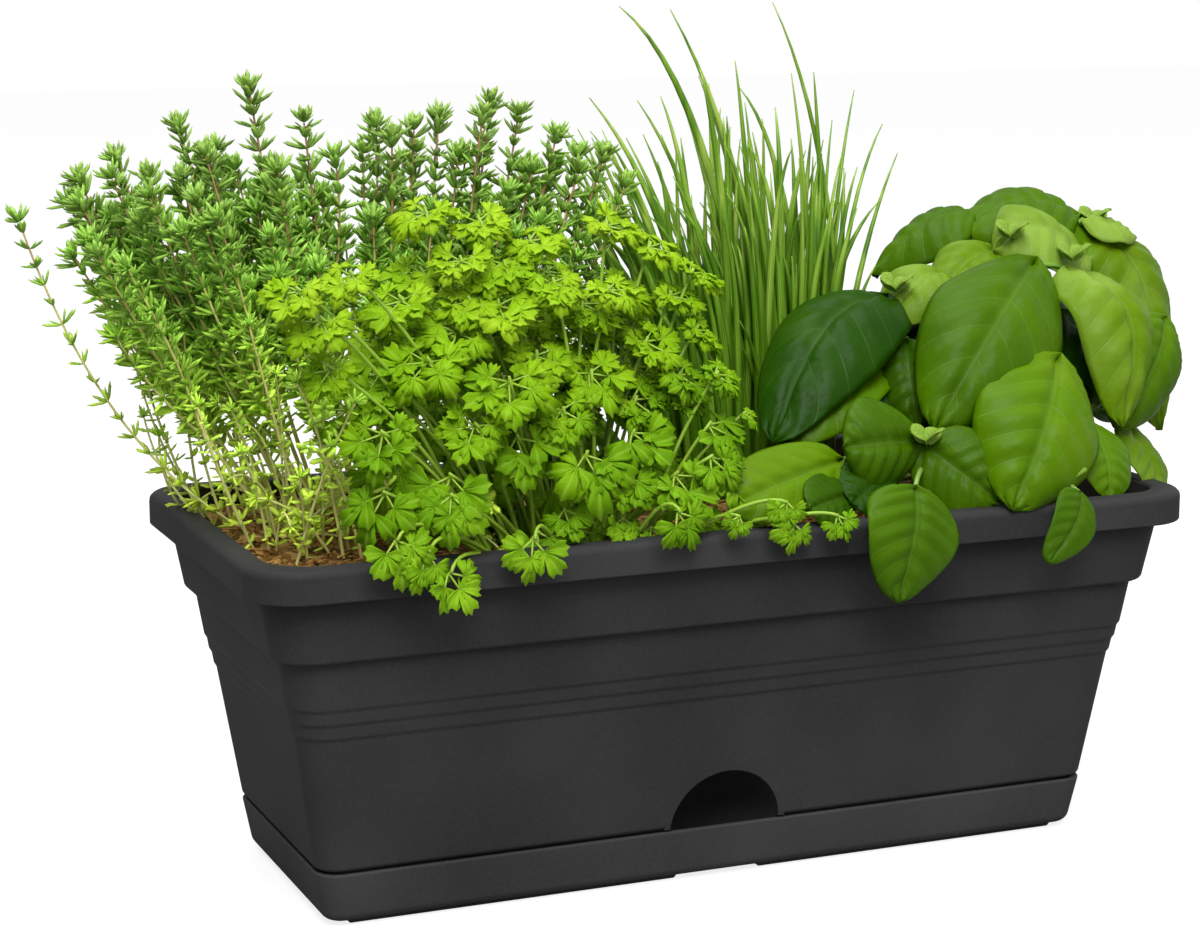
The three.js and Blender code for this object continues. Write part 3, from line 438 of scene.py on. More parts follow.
def combine(mesh, tool, operation):
    """Joins, cuts or meets one closed mesh with another and returns the result."""
    parts = [bpy.data.objects.new("shape", mesh), bpy.data.objects.new("tool", tool)]
    for part in parts:
        bpy.context.scene.collection.objects.link(part)
    change = parts[0].modifiers.new("combine", "BOOLEAN")
    change.object = parts[1]
    change.operation = operation
    change.solver = "EXACT"
    result = bpy.data.meshes.new_from_object(parts[0].evaluated_get(bpy.context.evaluated_depsgraph_get()))
    for part in parts:
        bpy.data.objects.remove(part)
    drop(mesh, tool)
    return result


def plan_ring(moulding, inset, height):
    """One rounded rectangle of edges, inset from the rim's outer face."""
    bm = bmesh.new()
    corners = bmesh.ops.create_grid(bm, x_segments=1, y_segments=1, size=0.5)["verts"]
    bmesh.ops.scale(bm, vec=(moulding.length - 2 * inset, moulding.width - 2 * inset, 1), verts=corners)
    bmesh.ops.translate(bm, vec=(0, 0, height), verts=corners)
    radius = max(moulding.rim_corner - moulding.corner_share * inset, moulding.wall)
    round_off(bm, corners, radius, 9, "VERTICES")
    bmesh.ops.delete(bm, geom=bm.faces[:], context="FACES_ONLY")
    return mesh_from(bm)


def loft(moulding, profile):
    """A closed body through rings given as (inset, height, rounding), with flat ends."""
    bm = bmesh.new()
    counts = [0]
    for i, (inset, _, _) in enumerate(profile):
        take(bm, plan_ring(moulding, inset, i * moulding.height))
        counts.append(len(bm.edges))
    bm.edges.ensure_lookup_table()
    rings = [bm.edges[low:high] for low, high in zip(counts, counts[1:])]
    corners = [list({vertex for edge in ring for vertex in edge.verts}) for ring in rings]
    for lower, upper in zip(rings, rings[1:]):
        bmesh.ops.bridge_loops(bm, edges=lower + upper)
    for i, (_, height, _) in enumerate(profile):
        bmesh.ops.translate(bm, vec=(0, 0, height - i * moulding.height), verts=corners[i])
    for ring in (rings[0], rings[-1]):
        bmesh.ops.contextual_create(bm, geom=ring)
    bmesh.ops.recalc_face_normals(bm, faces=bm.faces[:])
    for i, (_, _, rounding) in enumerate(profile):
        if rounding:
            round_off(bm, rings[i] + corners[i], rounding, 5, clamp=True)
    return mesh_from(bm)


def band_level(moulding):
    """Height of the band's lower edge."""
    return moulding.height - moulding.rim_skirt - moulding.band_height


def underside(moulding):
    """Height of the trough's underside, above the reservoir."""
    return moulding.rail_height + moulding.wall + moulding.reservoir


def saucer_inset(moulding, height):
    """Inset of the saucer's outer wall at a height."""
    share = (height - moulding.rail_height) / (SAUCER_TOP - moulding.rail_height)
    return moulding.saucer_base + (moulding.saucer_lip - moulding.saucer_base) * share


def plinth_inset(moulding, height):
    """Inset of the plinth, which stands inside the saucer, at a height."""
    return saucer_inset(moulding, height) + moulding.wall + moulding.plinth_gap


def body_inset(moulding, height):
    """Inset of the drafted body at a height, with the steps above that height taken in."""
    top = band_level(moulding)
    foot = SAUCER_TOP + moulding.shadow_gap
    inward = moulding.body_foot - moulding.body_top - moulding.step_count * moulding.step_depth
    draft = inward / (top - foot)
    steps = sum(1 for step in step_heights(moulding) if step > height)
    return moulding.body_top + draft * (top - height) + steps * moulding.step_depth


def step_heights(moulding):
    """Heights of the body's steps, from the top one down."""
    first = band_level(moulding) - moulding.step_drop
    return [first - i * moulding.step_pitch for i in range(moulding.step_count)]


def outer_wall(moulding, plinth_foot):
    """Rings of the trough's outside, from the plinth's foot to under the rim."""
    foot = SAUCER_TOP + moulding.shadow_gap
    band = band_level(moulding)
    rings = [(plinth_inset(moulding, plinth_foot), plinth_foot, 1 * MM),
             (plinth_inset(moulding, foot), foot, 0),
             (moulding.body_foot, foot, 1.4 * MM)]
    for step in reversed(step_heights(moulding)):
        under = step - 1 * MM
        rings.append((body_inset(moulding, under), under, 0.35 * MM))
        rings.append((body_inset(moulding, step), step, 0.45 * MM))
    rings.append((moulding.body_top, band, 0.4 * MM))
    rings.append((moulding.band_foot, band, 1.2 * MM))
    rings.append((moulding.band_top, moulding.height - moulding.rim_skirt, 0))
    return rings


def inner_wall(moulding, floor, gap):
    """Rings of the trough's inside, from under the rim to the floor, moved in by a gap."""
    foot = SAUCER_TOP + moulding.shadow_gap + moulding.wall
    band = band_level(moulding) + moulding.wall
    wall = moulding.wall + gap
    return [(moulding.band_top + wall, moulding.height - moulding.rim_skirt, 0),
            (moulding.band_foot + wall, band + gap, 0),
            (moulding.body_top + wall, band + gap, 0),
            (body_inset(moulding, foot) + wall, foot + gap, 0),
            (plinth_inset(moulding, foot) + wall, foot + gap, 0),
            (plinth_inset(moulding, floor) + wall, floor + gap, 0)]


def watering_mouth(moulding, extra, foot):
    """A domed shaft in the front wall, open to the saucer below."""
    bm = bmesh.new()
    bmesh.ops.create_uvsphere(bm, u_segments=48, v_segments=24, radius=1)
    everything = bm.verts[:] + bm.edges[:] + bm.faces[:]
    bmesh.ops.bisect_plane(bm, geom=everything, plane_co=(0, 0, 0), plane_no=UP, clear_inner=True)
    radius = moulding.mouth_radius + extra
    bmesh.ops.scale(bm, vec=(radius, moulding.mouth_depth + extra, radius), verts=bm.verts[:])
    bmesh.ops.translate(bm, vec=(0, moulding.body_foot - moulding.width / 2, SAUCER_TOP), verts=bm.verts[:])
    close_below(bm, foot)
    return mesh_from(bm)


# Middles of the drain holes in millimetres
DRAIN_HOLES = [(x, y) for x in (-80, 0, 80) for y in (-20, 20)]


def trough_moulding(moulding):
    """The trough: plinth, stepped body, band, hollow rim, floor with drain holes and watering mouth."""
    wall = moulding.wall
    plinth_foot = moulding.rail_height + wall + moulding.plinth_rest
    mouth_foot = plinth_foot - moulding.plinth_rest / 2
    under = underside(moulding)
    bore = plinth_inset(moulding, plinth_foot) + wall
    skirt = moulding.height - moulding.rim_skirt
    rim = [(moulding.band_top, moulding.height - wall, 0),
           (wall, moulding.height - wall, 0),
           (wall, skirt, 0.3 * MM),
           (0, skirt, 0.5 * MM),
           (0, moulding.height, moulding.rim_round),
           (moulding.band_top + wall, moulding.height, 1.2 * MM)]
    outside = outer_wall(moulding, plinth_foot)
    shell = loft(moulding, [(bore, under, 0), (bore, plinth_foot, 0)] + outside + rim
                 + inner_wall(moulding, under + wall, 0))
    filled = loft(moulding, [(plinth_inset(moulding, under), under, 0)]
                  + [(inset, height, 0) for inset, height, _ in outside[1:]])
    hood = combine(watering_mouth(moulding, wall, mouth_foot), filled, "INTERSECT")
    shell = combine(shell, hood, "UNION")
    shell = combine(shell, watering_mouth(moulding, 0, mouth_foot), "DIFFERENCE")
    holes = bmesh.new()
    radius = moulding.drain_radius
    for x, y in DRAIN_HOLES:
        place = Matrix.Translation(Vector((x * MM, y * MM, under + wall / 2)))
        bmesh.ops.create_cone(holes, cap_ends=True, segments=24, radius1=radius, radius2=radius,
                              depth=3 * wall, matrix=place)
    return combine(shell, mesh_from(holes), "DIFFERENCE")


def saucer_moulding(moulding):
    """The saucer: a drafted tray on four foot rails with a gap in the middle of each long side."""
    wall = moulding.wall
    floor = moulding.rail_height + wall
    middle = 35 * MM
    tray = loft(moulding, [(middle, moulding.rail_height, 0),
                           (moulding.saucer_base, moulding.rail_height, moulding.saucer_round),
                           (moulding.saucer_lip, SAUCER_TOP, 0.7 * MM),
                           (moulding.saucer_lip + wall, SAUCER_TOP, 0.7 * MM),
                           (moulding.saucer_base + wall, floor, 1 * MM),
                           (middle, floor, 0)])
    notch, end = moulding.rail_notch, moulding.length / 2 - moulding.rail_inset
    # How far a rail reaches into the tray, and how much shorter its foot is
    sunk, draft = 0.4 * MM, 3 * MM
    rails = bmesh.new()
    for right in (1, -1):
        for back in (1, -1):
            made = bmesh.ops.create_cube(rails, size=1)["verts"]
            size = (end - notch, moulding.rail_width, moulding.rail_height + sunk)
            bmesh.ops.scale(rails, vec=size, verts=made)
            foot = [vertex for vertex in made if vertex.co.z < 0]
            bmesh.ops.scale(rails, vec=(1 - draft / (end - notch), 1, 1), verts=foot)
            edges = {edge for vertex in foot for edge in vertex.link_edges if edge.other_vert(vertex) in foot}
            across, deep = right * (end + notch) / 2, back * (moulding.width / 2 - moulding.rail_inset)
            bmesh.ops.translate(rails, vec=(across, deep, size[2] / 2), verts=made)
            round_off(rails, list(edges) + foot, 0.35 * MM, 3)
    return combine(tray, mesh_from(rails), "UNION")


def soil_height(x, y):
    """Height of the soil's surface: lumps, a bank round the thyme and a lower edge along the walls."""
    spot = Vector((x, y, 0.4))
    lumps = sum(high * noise.noise(spot * per(wide)) for high, wide in ((2.2, 30), (1.1, 9), (0.6, 3.5)))
    wall = min(TROUGH_HIGH.x - abs(x), TROUGH_HIGH.y - abs(y)) - 8 * MM
    bank = 5 * min(max((-x / MM - 40) / 60, 0), 1)
    return SOIL_TOP + (lumps - 1 + bank) * MM - 2.5 * MM * max(0, 1 - wall / (10 * MM))


def soil_bed(moulding):
    """The soil: a body that fills the trough round the mouth's hood, under a lumpy crust."""
    gap = moulding.soil_gap
    inset = moulding.band_top + moulding.wall + gap
    sides = inner_wall(moulding, underside(moulding) + moulding.wall, gap)[::-1]
    top = SOIL_TOP - 8 * MM
    body = loft(moulding, sides[:-1] + [(inset, top, 0)])
    hood = watering_mouth(moulding, moulding.wall + gap, moulding.rail_height)
    body = combine(body, hood, "DIFFERENCE")
    bm = bmesh.new()
    bmesh.ops.create_grid(bm, x_segments=150, y_segments=64, size=0.5)
    half = Vector((moulding.length / 2 - inset, moulding.width / 2 - inset))
    corner = moulding.rim_corner - moulding.corner_share * inset
    for vertex in bm.verts:
        x, y = 2 * vertex.co.x * half.x, 2 * vertex.co.y * half.y
        over = Vector((max(abs(x) - half.x + corner, 0), max(abs(y) - half.y + corner, 0)))
        if over.x and over.y and over.length > corner:
            over *= 1 - corner / over.length
            x -= math.copysign(over.x, x)
            y -= math.copysign(over.y, y)
        vertex.co = (x, y, soil_height(x, y))
    close_below(bm, top - 1 * MM)
    take(bm, body)
    return mesh_from(bm)


FIBRE_STEPS = 4
# One piece of litter in so many is a bark chip
BARK_EVERY = 9


def crumb(seed):
    """A rough lump of soil, about one unit across."""
    bm = bmesh.new()
    bmesh.ops.create_icosphere(bm, subdivisions=1, radius=0.5)
    for vertex in bm.verts:
        vertex.co *= 1 + 0.6 * noise.noise(vertex.co * 3 + Vector((seed, 0, 0)))
    return mesh_from(bm)


def bark_chip():
    """A flat splinter of bark, one unit long, with broken edges."""
    bm = bmesh.new()
    made = bmesh.ops.create_cube(bm, size=1)["verts"]
    bmesh.ops.scale(bm, vec=(1, 0.34, 0.14), verts=made)
    ends = [vertex for vertex in made if vertex.co.x > 0]
    bmesh.ops.scale(bm, vec=(1, 0.45, 0.7), verts=ends)
    round_off(bm, bm.edges[:] + bm.verts[:], 0.04, 1)
    return mesh_from(bm)


def soil_litter(herbs):
    """Crumbs, bark chips and fibres strewn on the soil."""
    rng = random.Random(herbs.seed + 4)
    litter = bmesh.new()
    lumps, chip, fibre = [crumb(0), crumb(5), crumb(9)], bark_chip(), rod(4, FIBRE_STEPS)
    for i in range(herbs.crumbs):
        x, y = rng.uniform(-138, 138) * MM, rng.uniform(-55, 55) * MM
        bark = i % BARK_EVERY == 0
        size = rng.uniform(3, 6.5) if bark else rng.uniform(0.7, 2.4)
        turn = Matrix.Rotation(rng.uniform(0, FULL_TURN), 4, "Z")
        tilt = Matrix.Rotation(rng.uniform(-0.5, 0.5), 4, "X")
        place = Matrix.Translation((x, y, soil_height(x, y) + 0.2 * size * MM))
        mesh = (chip if bark else lumps[i % len(lumps)]).copy()
        mesh.transform(place @ turn @ tilt @ Matrix.Scale(size * MM, 4))
        take(litter, mesh)
    for _ in range(herbs.fibres):
        x, y = rng.uniform(-136, 136) * MM, rng.uniform(-54, 54) * MM
        start = Vector((x, y, soil_height(x, y)))
        end = start + mm(rng.uniform(-11, 11), rng.uniform(-11, 11), rng.uniform(0, 2))
        crest = start.lerp(end, 0.5) + mm(rng.uniform(-3, 3), rng.uniform(-3, 3), 2)
        lay(litter, fibre, bow(start, crest, end, FIBRE_STEPS), 0.45 * MM, 0.25 * MM)
    drop(chip, fibre, *lumps)
    return mesh_from(litter)


def rod(sides, steps):
    """A straight rod of unit radius from 0 to 1 along Z, mapped by its front and its length."""
    bm = bmesh.new()
    bmesh.ops.create_circle(bm, segments=sides, radius=1)
    edges = bm.edges[:]
    ends = [edges]
    for _ in range(steps):
        made = bmesh.ops.extrude_edge_only(bm, edges=edges)["geom"]
        ring = [part for part in made if isinstance(part, bmesh.types.BMVert)]
        bmesh.ops.translate(bm, vec=(0, 0, 1 / steps), verts=ring)
        edges = [part for part in made if isinstance(part, bmesh.types.BMEdge)
                 and part.verts[0] in ring and part.verts[1] in ring]
    ends.append(edges)
    for end in ends:
        bmesh.ops.contextual_create(bm, geom=end)
    bmesh.ops.recalc_face_normals(bm, faces=bm.faces[:])
    flat = bm.loops.layers.uv.new("UVMap")
    map_flat(bm.faces, flat, lambda spot: (spot.x * 0.5 + 0.5, spot.z))
    return mesh_from(bm)


def bow(foot, crest, tip, steps):
    """Points along a smooth bow from foot to tip that leans towards crest."""
    return interpolate_bezier(foot, foot.lerp(crest, 2 / 3), tip.lerp(crest, 2 / 3), tip, steps + 1)


def lay(bm, template, points, thick, thin, power=1):
    """Adds a copy of a straight rod, laid along points and tapered from thick to thin."""
    mesh = template.copy()
    last = len(points) - 1
    frames = []
    for i, point in enumerate(points):
        ahead = (points[min(i + 1, last)] - points[max(i - 1, 0)]).normalized()
        side = ahead.cross(Vector((0.3, 1, 0.1))).normalized()
        radius = thick + (thin - thick) * (i / last) ** power
        frames.append((point, side * radius, ahead.cross(side) * radius))
    for vertex in mesh.vertices:
        point, side, front = frames[round(vertex.co.z * last)]
        vertex.co = point + side * vertex.co.x + front * vertex.co.y
    take(bm, mesh)


def at(points, share):
    """Point and direction at a share of a path's points."""
    spot = min(max(share, 0), 0.9999) * (len(points) - 1)
    i = int(spot)
    ahead = points[i + 1] - points[i]
    return points[i] + ahead * (spot - i), ahead.normalized()


def plant(bm, template, root, axis, face, size, tone=None):
    """Adds a copy of a leaf that grows from root along axis. size is its width, length and thickness."""
    place = Matrix((axis.cross(face) * size[0], axis * size[1], face * size[2])).transposed().to_4x4()
    place.translation = root
    mesh = template.copy()
    if tone is not None:
        for corner in mesh.uv_layers[0].uv:
            corner.vector.x = tone
    mesh.transform(place)
    take(bm, mesh)


def set_leaf(bm, leaf, root, out, ahead, lean, length, shape, tone):
    """Adds one small leaf that leaves its stem outwards and leans along it. shape is width and thickness."""
    axis = out * math.cos(lean) + ahead * math.sin(lean)
    face = ahead * math.cos(lean) - out * math.sin(lean)
    plant(bm, leaf, root, axis, face, (length * shape[0], length, length * shape[1]), tone)


def thyme_leaf():
    """A narrow thick leaf, one unit long, from a four-sided sphere."""
    bm = bmesh.new()
    bmesh.ops.create_uvsphere(bm, u_segments=4, v_segments=3, radius=0.5)
    bmesh.ops.rotate(bm, cent=(0, 0, 0), matrix=Matrix.Rotation(-math.pi / 2, 3, "X"), verts=bm.verts[:])
    bmesh.ops.translate(bm, vec=(0, 0.5, 0), verts=bm.verts[:])
    map_flat(bm.faces, bm.loops.layers.uv.new("UVMap"), lambda spot: (0, spot.y))
    for vertex in bm.verts:
        vertex.co.z += 0.6 * (0.5 - vertex.co.y) ** 2
        vertex.co.x *= 1.2
    bmesh.ops.recalc_face_normals(bm, faces=bm.faces[:])
    return mesh_from(bm)


# Tips of the thyme's outer sprigs in millimetres
THYME_TIPS = [
    (-124, 22, 236), (-144, 26, 225), (-162, 30, 216), (-172, 34, 210), (-107, 24, 226), (-86, 20, 224),
    (-65, 24, 226), (-49, 22, 230), (-31, 14, 220), (-17, 10, 214), (-130, 40, 217), (-157, 10, 212),
    (-177, 0, 196), (-64, 48, 214), (-148, -8, 207), (-124, -6, 214), (-35, 30, 210), (-156, 68, 196),
    (-125, 71, 202), (-95, 70, 204), (-64, 71, 200), (-34, 68, 196),
]
THYME_ROOT = Vector((-84, 22, 101))
THYME_CROWN = Vector((-95, 24, 198))
THYME_STEPS = 24
THYME_SHOOTS = 6
# Turn from leaf to leaf in an end tuft, in radians
TUFT_TURN = 2.4
# How far along the way from the root to a sprig's tip the sprig's foot stands
THYME_SPREAD = 0.36
# For each kind of shoot: radius of its foot in millimetres, share of its length that is bare, spacing of
# its leaf pairs and size of its leaves against the usual ones, how many more leaves may grow beside each
# leaf, and how many are in its end tuft
THYME_KINDS = {
    "sprig": {"radius": 0.8, "bare": 0.28, "spacing": 1, "size": 1, "joined": (3, 3, 4), "tuft": 14},
    "shoot": {"radius": 0.5, "bare": 0.1, "spacing": 1, "size": 1, "joined": (3, 3, 4), "tuft": 14},
    "runner": {"radius": 0.5, "bare": 0.15, "spacing": 1.5, "size": 0.6, "joined": (0, 0, 1), "tuft": 6},
    "trail": {"radius": 0.5, "bare": 0.1, "spacing": 1.5, "size": 0.8, "joined": (2, 3, 3), "tuft": 14},
}


def thyme_paths(herbs, rng):
    """Paths of all shoots: outer sprigs, sprigs that fill the bush, their side shoots, and low runners."""
    tips = [Vector(tip) for tip in THYME_TIPS]
    for i, (across, deep) in enumerate(disc(herbs.thyme_fill)):
        fall = 22 * across ** 2 + 12 * deep ** 2 - 50 * scatter(i, 1)
        tips.append(THYME_CROWN + Vector((74 * across, 36 * deep, -fall)))
    paths = []
    for tip in tips:
        foot = THYME_ROOT + (tip - THYME_ROOT) * THYME_SPREAD
        foot.z = THYME_ROOT.z
        crest = foot.lerp(tip, 0.5) + Vector((0.06 * (tip.x - foot.x), 0, -4))
        sprig = bow(foot * MM, crest * MM, tip * MM, THYME_STEPS)
        paths.append(("sprig", sprig))
        for k in range(THYME_SHOOTS):
            fork = at(sprig, rng.uniform(0.35, 0.6))[0]
            turn = (k + rng.uniform(-0.4, 0.4)) * math.tau / THYME_SHOOTS
            aside = Quaternion(UP, turn) @ Vector((rng.uniform(4, 10), 0, 0)) * MM
            end = at(sprig, rng.uniform(0.68, 0.98))[0] + aside
            paths.append(("shoot", bow(fork, fork.lerp(end, 0.4) + aside * 0.6, end, THYME_STEPS)))
    for _ in range(herbs.thyme_runners):
        foot = Vector((rng.uniform(-132, -60), rng.uniform(-36, 16), ROOT_LEVEL + 3))
        way = Vector((rng.uniform(-1, 0.5), rng.uniform(-1, 0.1))).normalized() * rng.uniform(8, 34)
        tip = Vector((max(foot.x + way.x, -142), max(foot.y + way.y, -52), rng.uniform(107, 160)))
        crest = foot.lerp(tip, 0.45) + Vector((0, 0, rng.uniform(2, 22)))
        paths.append(("runner", bow(foot * MM, crest * MM, tip * MM, THYME_STEPS)))
    for _ in range(herbs.thyme_aside):
        foot = Vector((rng.uniform(-138, -116), rng.uniform(-16, 40), ROOT_LEVEL + 3))
        tip = foot + Vector((rng.uniform(-26, 0), rng.uniform(-12, 8), rng.uniform(30, 84)))
        crest = foot.lerp(tip, 0.5) + Vector((rng.uniform(-8, 2), 0, -6))
        paths.append(("runner", bow(foot * MM, crest * MM, tip * MM, THYME_STEPS)))
    paths.append(("trail", bow(mm(-124, 14, 103), mm(-170, 22, 128), mm(-190, 34, 199), THYME_STEPS)))
    return paths


def thyme_growth(herbs):
    """Stems and leaves of the thyme, the leaves in parts."""
    rng = random.Random(herbs.seed)
    stems, parts = bmesh.new(), [bmesh.new() for _ in range(3)]
    twig, leaf = rod(5, THYME_STEPS), thyme_leaf()
    for index, (kind, path) in enumerate(thyme_paths(herbs, rng)):
        usual, runner = THYME_KINDS[kind], THYME_KINDS["runner"]
        lay(stems, twig, path, usual["radius"] * MM, 0.3 * MM)
        length = sum((b - a).length for a, b in zip(path, path[1:]))
        bare = usual["bare"]
        count = int(length * (1 - bare) / (herbs.thyme_node * usual["spacing"]))
        turn = rng.uniform(0, math.pi)
        leaves = parts[index % len(parts)]
        for k in range(count + 1):
            share = bare + (1 - bare) * (1 - (1 - k / count) ** 1.25)
            root, ahead = at(path, share)
            turn += math.pi / 2 + rng.uniform(-0.3, 0.3)
            side = Quaternion(ahead, turn) @ ahead.orthogonal().normalized()
            sparse = kind == "runner" or (kind == "sprig" and share < 0.5)
            look = runner if sparse else usual
            size = herbs.thyme_leaf * (1.08 - 0.15 * share) * rng.uniform(0.8, 1.15) * look["size"]
            for out in (side, -side):
                lean = rng.uniform(0.1, 0.6) if sparse else rng.uniform(0.2, 0.9)
                shape = (0.42 if sparse else 0.2, 0.16)
                set_leaf(leaves, leaf, root, out, ahead, lean, size, shape, rng.random())
                for _ in range(rng.choice(look["joined"])):
                    small = size * rng.uniform(0.55, 0.95)
                    swing = Quaternion(ahead, rng.uniform(-1, 1)) @ out
                    more = lean + rng.uniform(0, 0.5)
                    set_leaf(leaves, leaf, root, swing, ahead, more, small, (0.24, 0.14), rng.random())
        root, ahead = at(path, 1)
        for k in range(usual["tuft"]):
            out = Quaternion(ahead, k * TUFT_TURN) @ ahead.orthogonal().normalized()
            small = herbs.thyme_leaf * rng.uniform(0.55, 0.95) * (0.7 if kind == "runner" else 1)
            lean = rng.uniform(0.5, 1.35)
            set_leaf(leaves, leaf, root, out, ahead, lean, small, (0.22, 0.14), rng.uniform(0.5, 1))
    drop(twig, leaf)
    return mesh_from(stems), [mesh_from(part) for part in parts]


# Reach of a leaflet's lobe across its edge, and the cup and pleat of the leaflets: toothed and finer high up,
# rounder low down
TOOTHED_EDGE = (0.7, 0.96, 0.84, 1.06, 0.84, 0.96, 0.7)
ROUND_EDGE = (0.78, 0.98, 0.89, 1.05, 0.89, 0.98, 0.78)
FINE_BENDS = ((0.12, 0.16), (0.28, 0.2), (-0.12, 0.22), (0.42, 0.26))
BROAD_BENDS = ((0.12, 0.18), (0.3, 0.22), (-0.1, 0.2))


def parsley_fan(cup, pleat, edges):
    """One leaflet of unit length: three bluntly toothed lobes, each folded along its vein and bent over."""
    bm = bmesh.new()
    flat = bm.loops.layers.uv.new("UVMap")
    for turn, size in ((-62, 0.86), (0, 1), (62, 0.86)):
        lobe = bmesh.ops.create_grid(bm, x_segments=6, y_segments=2, size=0.5)["verts"]
        faces = {face for vertex in lobe for face in vertex.link_faces}
        map_flat(faces, flat, lambda spot: (spot.x + 0.5, spot.y + 0.5))
        for vertex in lobe:
            across, share = 2 * vertex.co.x, vertex.co.y + 0.5
            edge = edges[round(3 + 3 * across)]
            radius = size * (0.06 + 0.94 * share) * (1 + (edge - 1) * share)
            angle = math.radians(turn) + across * math.radians(30) * (1 - 0.14 * share ** 2)
            fold = pleat * (share * (abs(across) - 0.4) + 0.12 * math.cos(3 * math.pi * across))
            vertex.co = (radius * math.sin(angle), radius * math.cos(angle), fold - cup * share ** 2)
    bmesh.ops.recalc_face_normals(bm, faces=bm.faces[:])
    for face in bm.faces:
        if face.normal.z < 0:
            face.normal_flip()
    return mesh_from(bm)


# Places of the parsley's leaves in millimetres, with the leaf's size against the usual one
PARSLEY_LEAVES = [
    (-87, -26, 205, 1), (-71, -26, 202, 1), (-56, -28, 196, 1), (-30, -24, 199, 1), (-16, -24, 192, 1),
    (-4, -28, 184, 0.9), (-134, -56, 188, 0.9), (-117, -50, 191, 0.9), (-128, -58, 180, 1),
    (-125, -56, 166, 0.8), (-99, -38, 182, 1.1), (-71, -42, 180, 1.2), (-95, -50, 166, 1.2),
    (-73, -56, 160, 1.3), (-43, -32, 176, 1.1), (-5, -34, 168, 0.9), (-23, -38, 166, 1),
    (-29, -44, 150, 1.1), (-112, -60, 148, 1.1), (-113, -64, 132, 1), (-93, -62, 135, 1.1),
    (-51, -60, 138, 1.1), (-23, -60, 130, 1), (-70, -54, 143, 1), (6, -44, 143, 0.45),
    (-60, -44, 165, 1.1), (-84, -44, 173, 1.1), (-44, -46, 159, 1.1), (-8, -50, 142, 0.9),
    (-102, -30, 170, 1), (-88, -24, 188, 1), (-48, -22, 186, 1), (-28, -26, 180, 1),
    (-12, -30, 178, 0.9), (-62, -22, 176, 1), (-40, -24, 164, 1), (-66, -34, 190, 0.9),
    (-80, -36, 192, 0.9), (-108, -44, 158, 1), (-56, -54, 150, 1), (-36, -40, 182, 0.9),
    (-14, -42, 156, 0.9), (-84, -58, 148, 1), (-6, -56, 128, 0.8), (-94, -66, 130, 0.9),
    (-58, -60, 122, 0.6), (-40, -60, 118, 0.6), (-30, -58, 114, 0.55), (-14, -58, 116, 0.6),
    (-50, -56, 114, 0.55), (-66, -60, 116, 0.6), (0, -58, 116, 0.5), (-22, -56, 124, 0.6),
    (-12, -60, 134, 0.8), (-40, -60, 130, 0.8), (-4, -46, 156, 0.8), (-34, -54, 142, 0.9),
]
# Leaves that hang over the rim, given the same way
PARSLEY_HANGING = [
    (-112, -73, 120, 0.85), (-97, -74, 110, 0.8), (-72, -73, 117, 0.8), (-28, -73, 121, 0.75),
    (-103, -73, 116, 0.8), (6, -72, 121, 0.5), (8, -73, 115, 0.55), (22, -73, 116, 0.5),
    (-9, -72, 118, 0.4),
]
# The arms of a parsley leaf: turn from its middle, length and size against the middle one
PARSLEY_ARMS = (
    (0, 1, 1), (-0.85, 0.85, 0.92), (0.85, 0.85, 0.92), (-1.75, 0.65, 0.8), (1.75, 0.65, 0.8),
)
# Leaves below this height in millimetres are broad
LOW_PARSLEY = 145
PARSLEY_STEPS = 12
TWIG_STEPS = 3
PARSLEY_ROOT = Vector((-45, -35))
PARSLEY_HEART = Vector((-62, -16, 138))
# Middle of the clump that the inner leaves fill; half of its length, its depth and half of its height
PARSLEY_CLUMP = Vector((-62, -32, 154))
CLUMP_REACH = Vector((54, 20, 36))


def parsley_places(herbs):
    """Place and size of each leaf and whether it hangs: outer leaves, the clump's inside, hanging leaves."""
    places = [(Vector(spot[:3]), spot[3], False) for spot in PARSLEY_LEAVES]
    for i, (across, high) in enumerate(disc(herbs.parsley_fill)):
        inside = CLUMP_REACH * Vector((across, scatter(i, 2), high))
        places.append((PARSLEY_CLUMP + inside, 1, False))
    return places + [(Vector(spot[:3]), spot[3], True) for spot in PARSLEY_HANGING]


def parsley_stance(foot, spot, scale, hangs, rng):
    """How a leaf is held: its stalk's crest in millimetres, the way it faces and the way it points."""
    if hangs:
        crest = Vector((spot.x * 0.8 + foot.x * 0.2, spot.y + 8, spot.z + 14 * scale ** 2))
        facing = Vector((rng.uniform(-0.2, 0.2), -1, 0.25)).normalized()
        along = Vector((rng.uniform(-0.5, 0.5), 0, -1))
    else:
        out = spot - PARSLEY_HEART
        crest = foot.lerp(spot, 0.3)
        crest.z = 103 + (spot.z - 112) * 0.7
        facing = out.normalized() * 0.7 + Vector((-0.1, -0.45, 0.75))
        facing = (facing + Vector((rng.uniform(-0.2, 0.2), rng.uniform(-0.2, 0.2), 0))).normalized()
        along = Vector((out.x + rng.uniform(-12, 12), out.y - 14, 0.2 * out.z - 14))
    return crest, facing, (along - facing * along.dot(facing)).normalized()


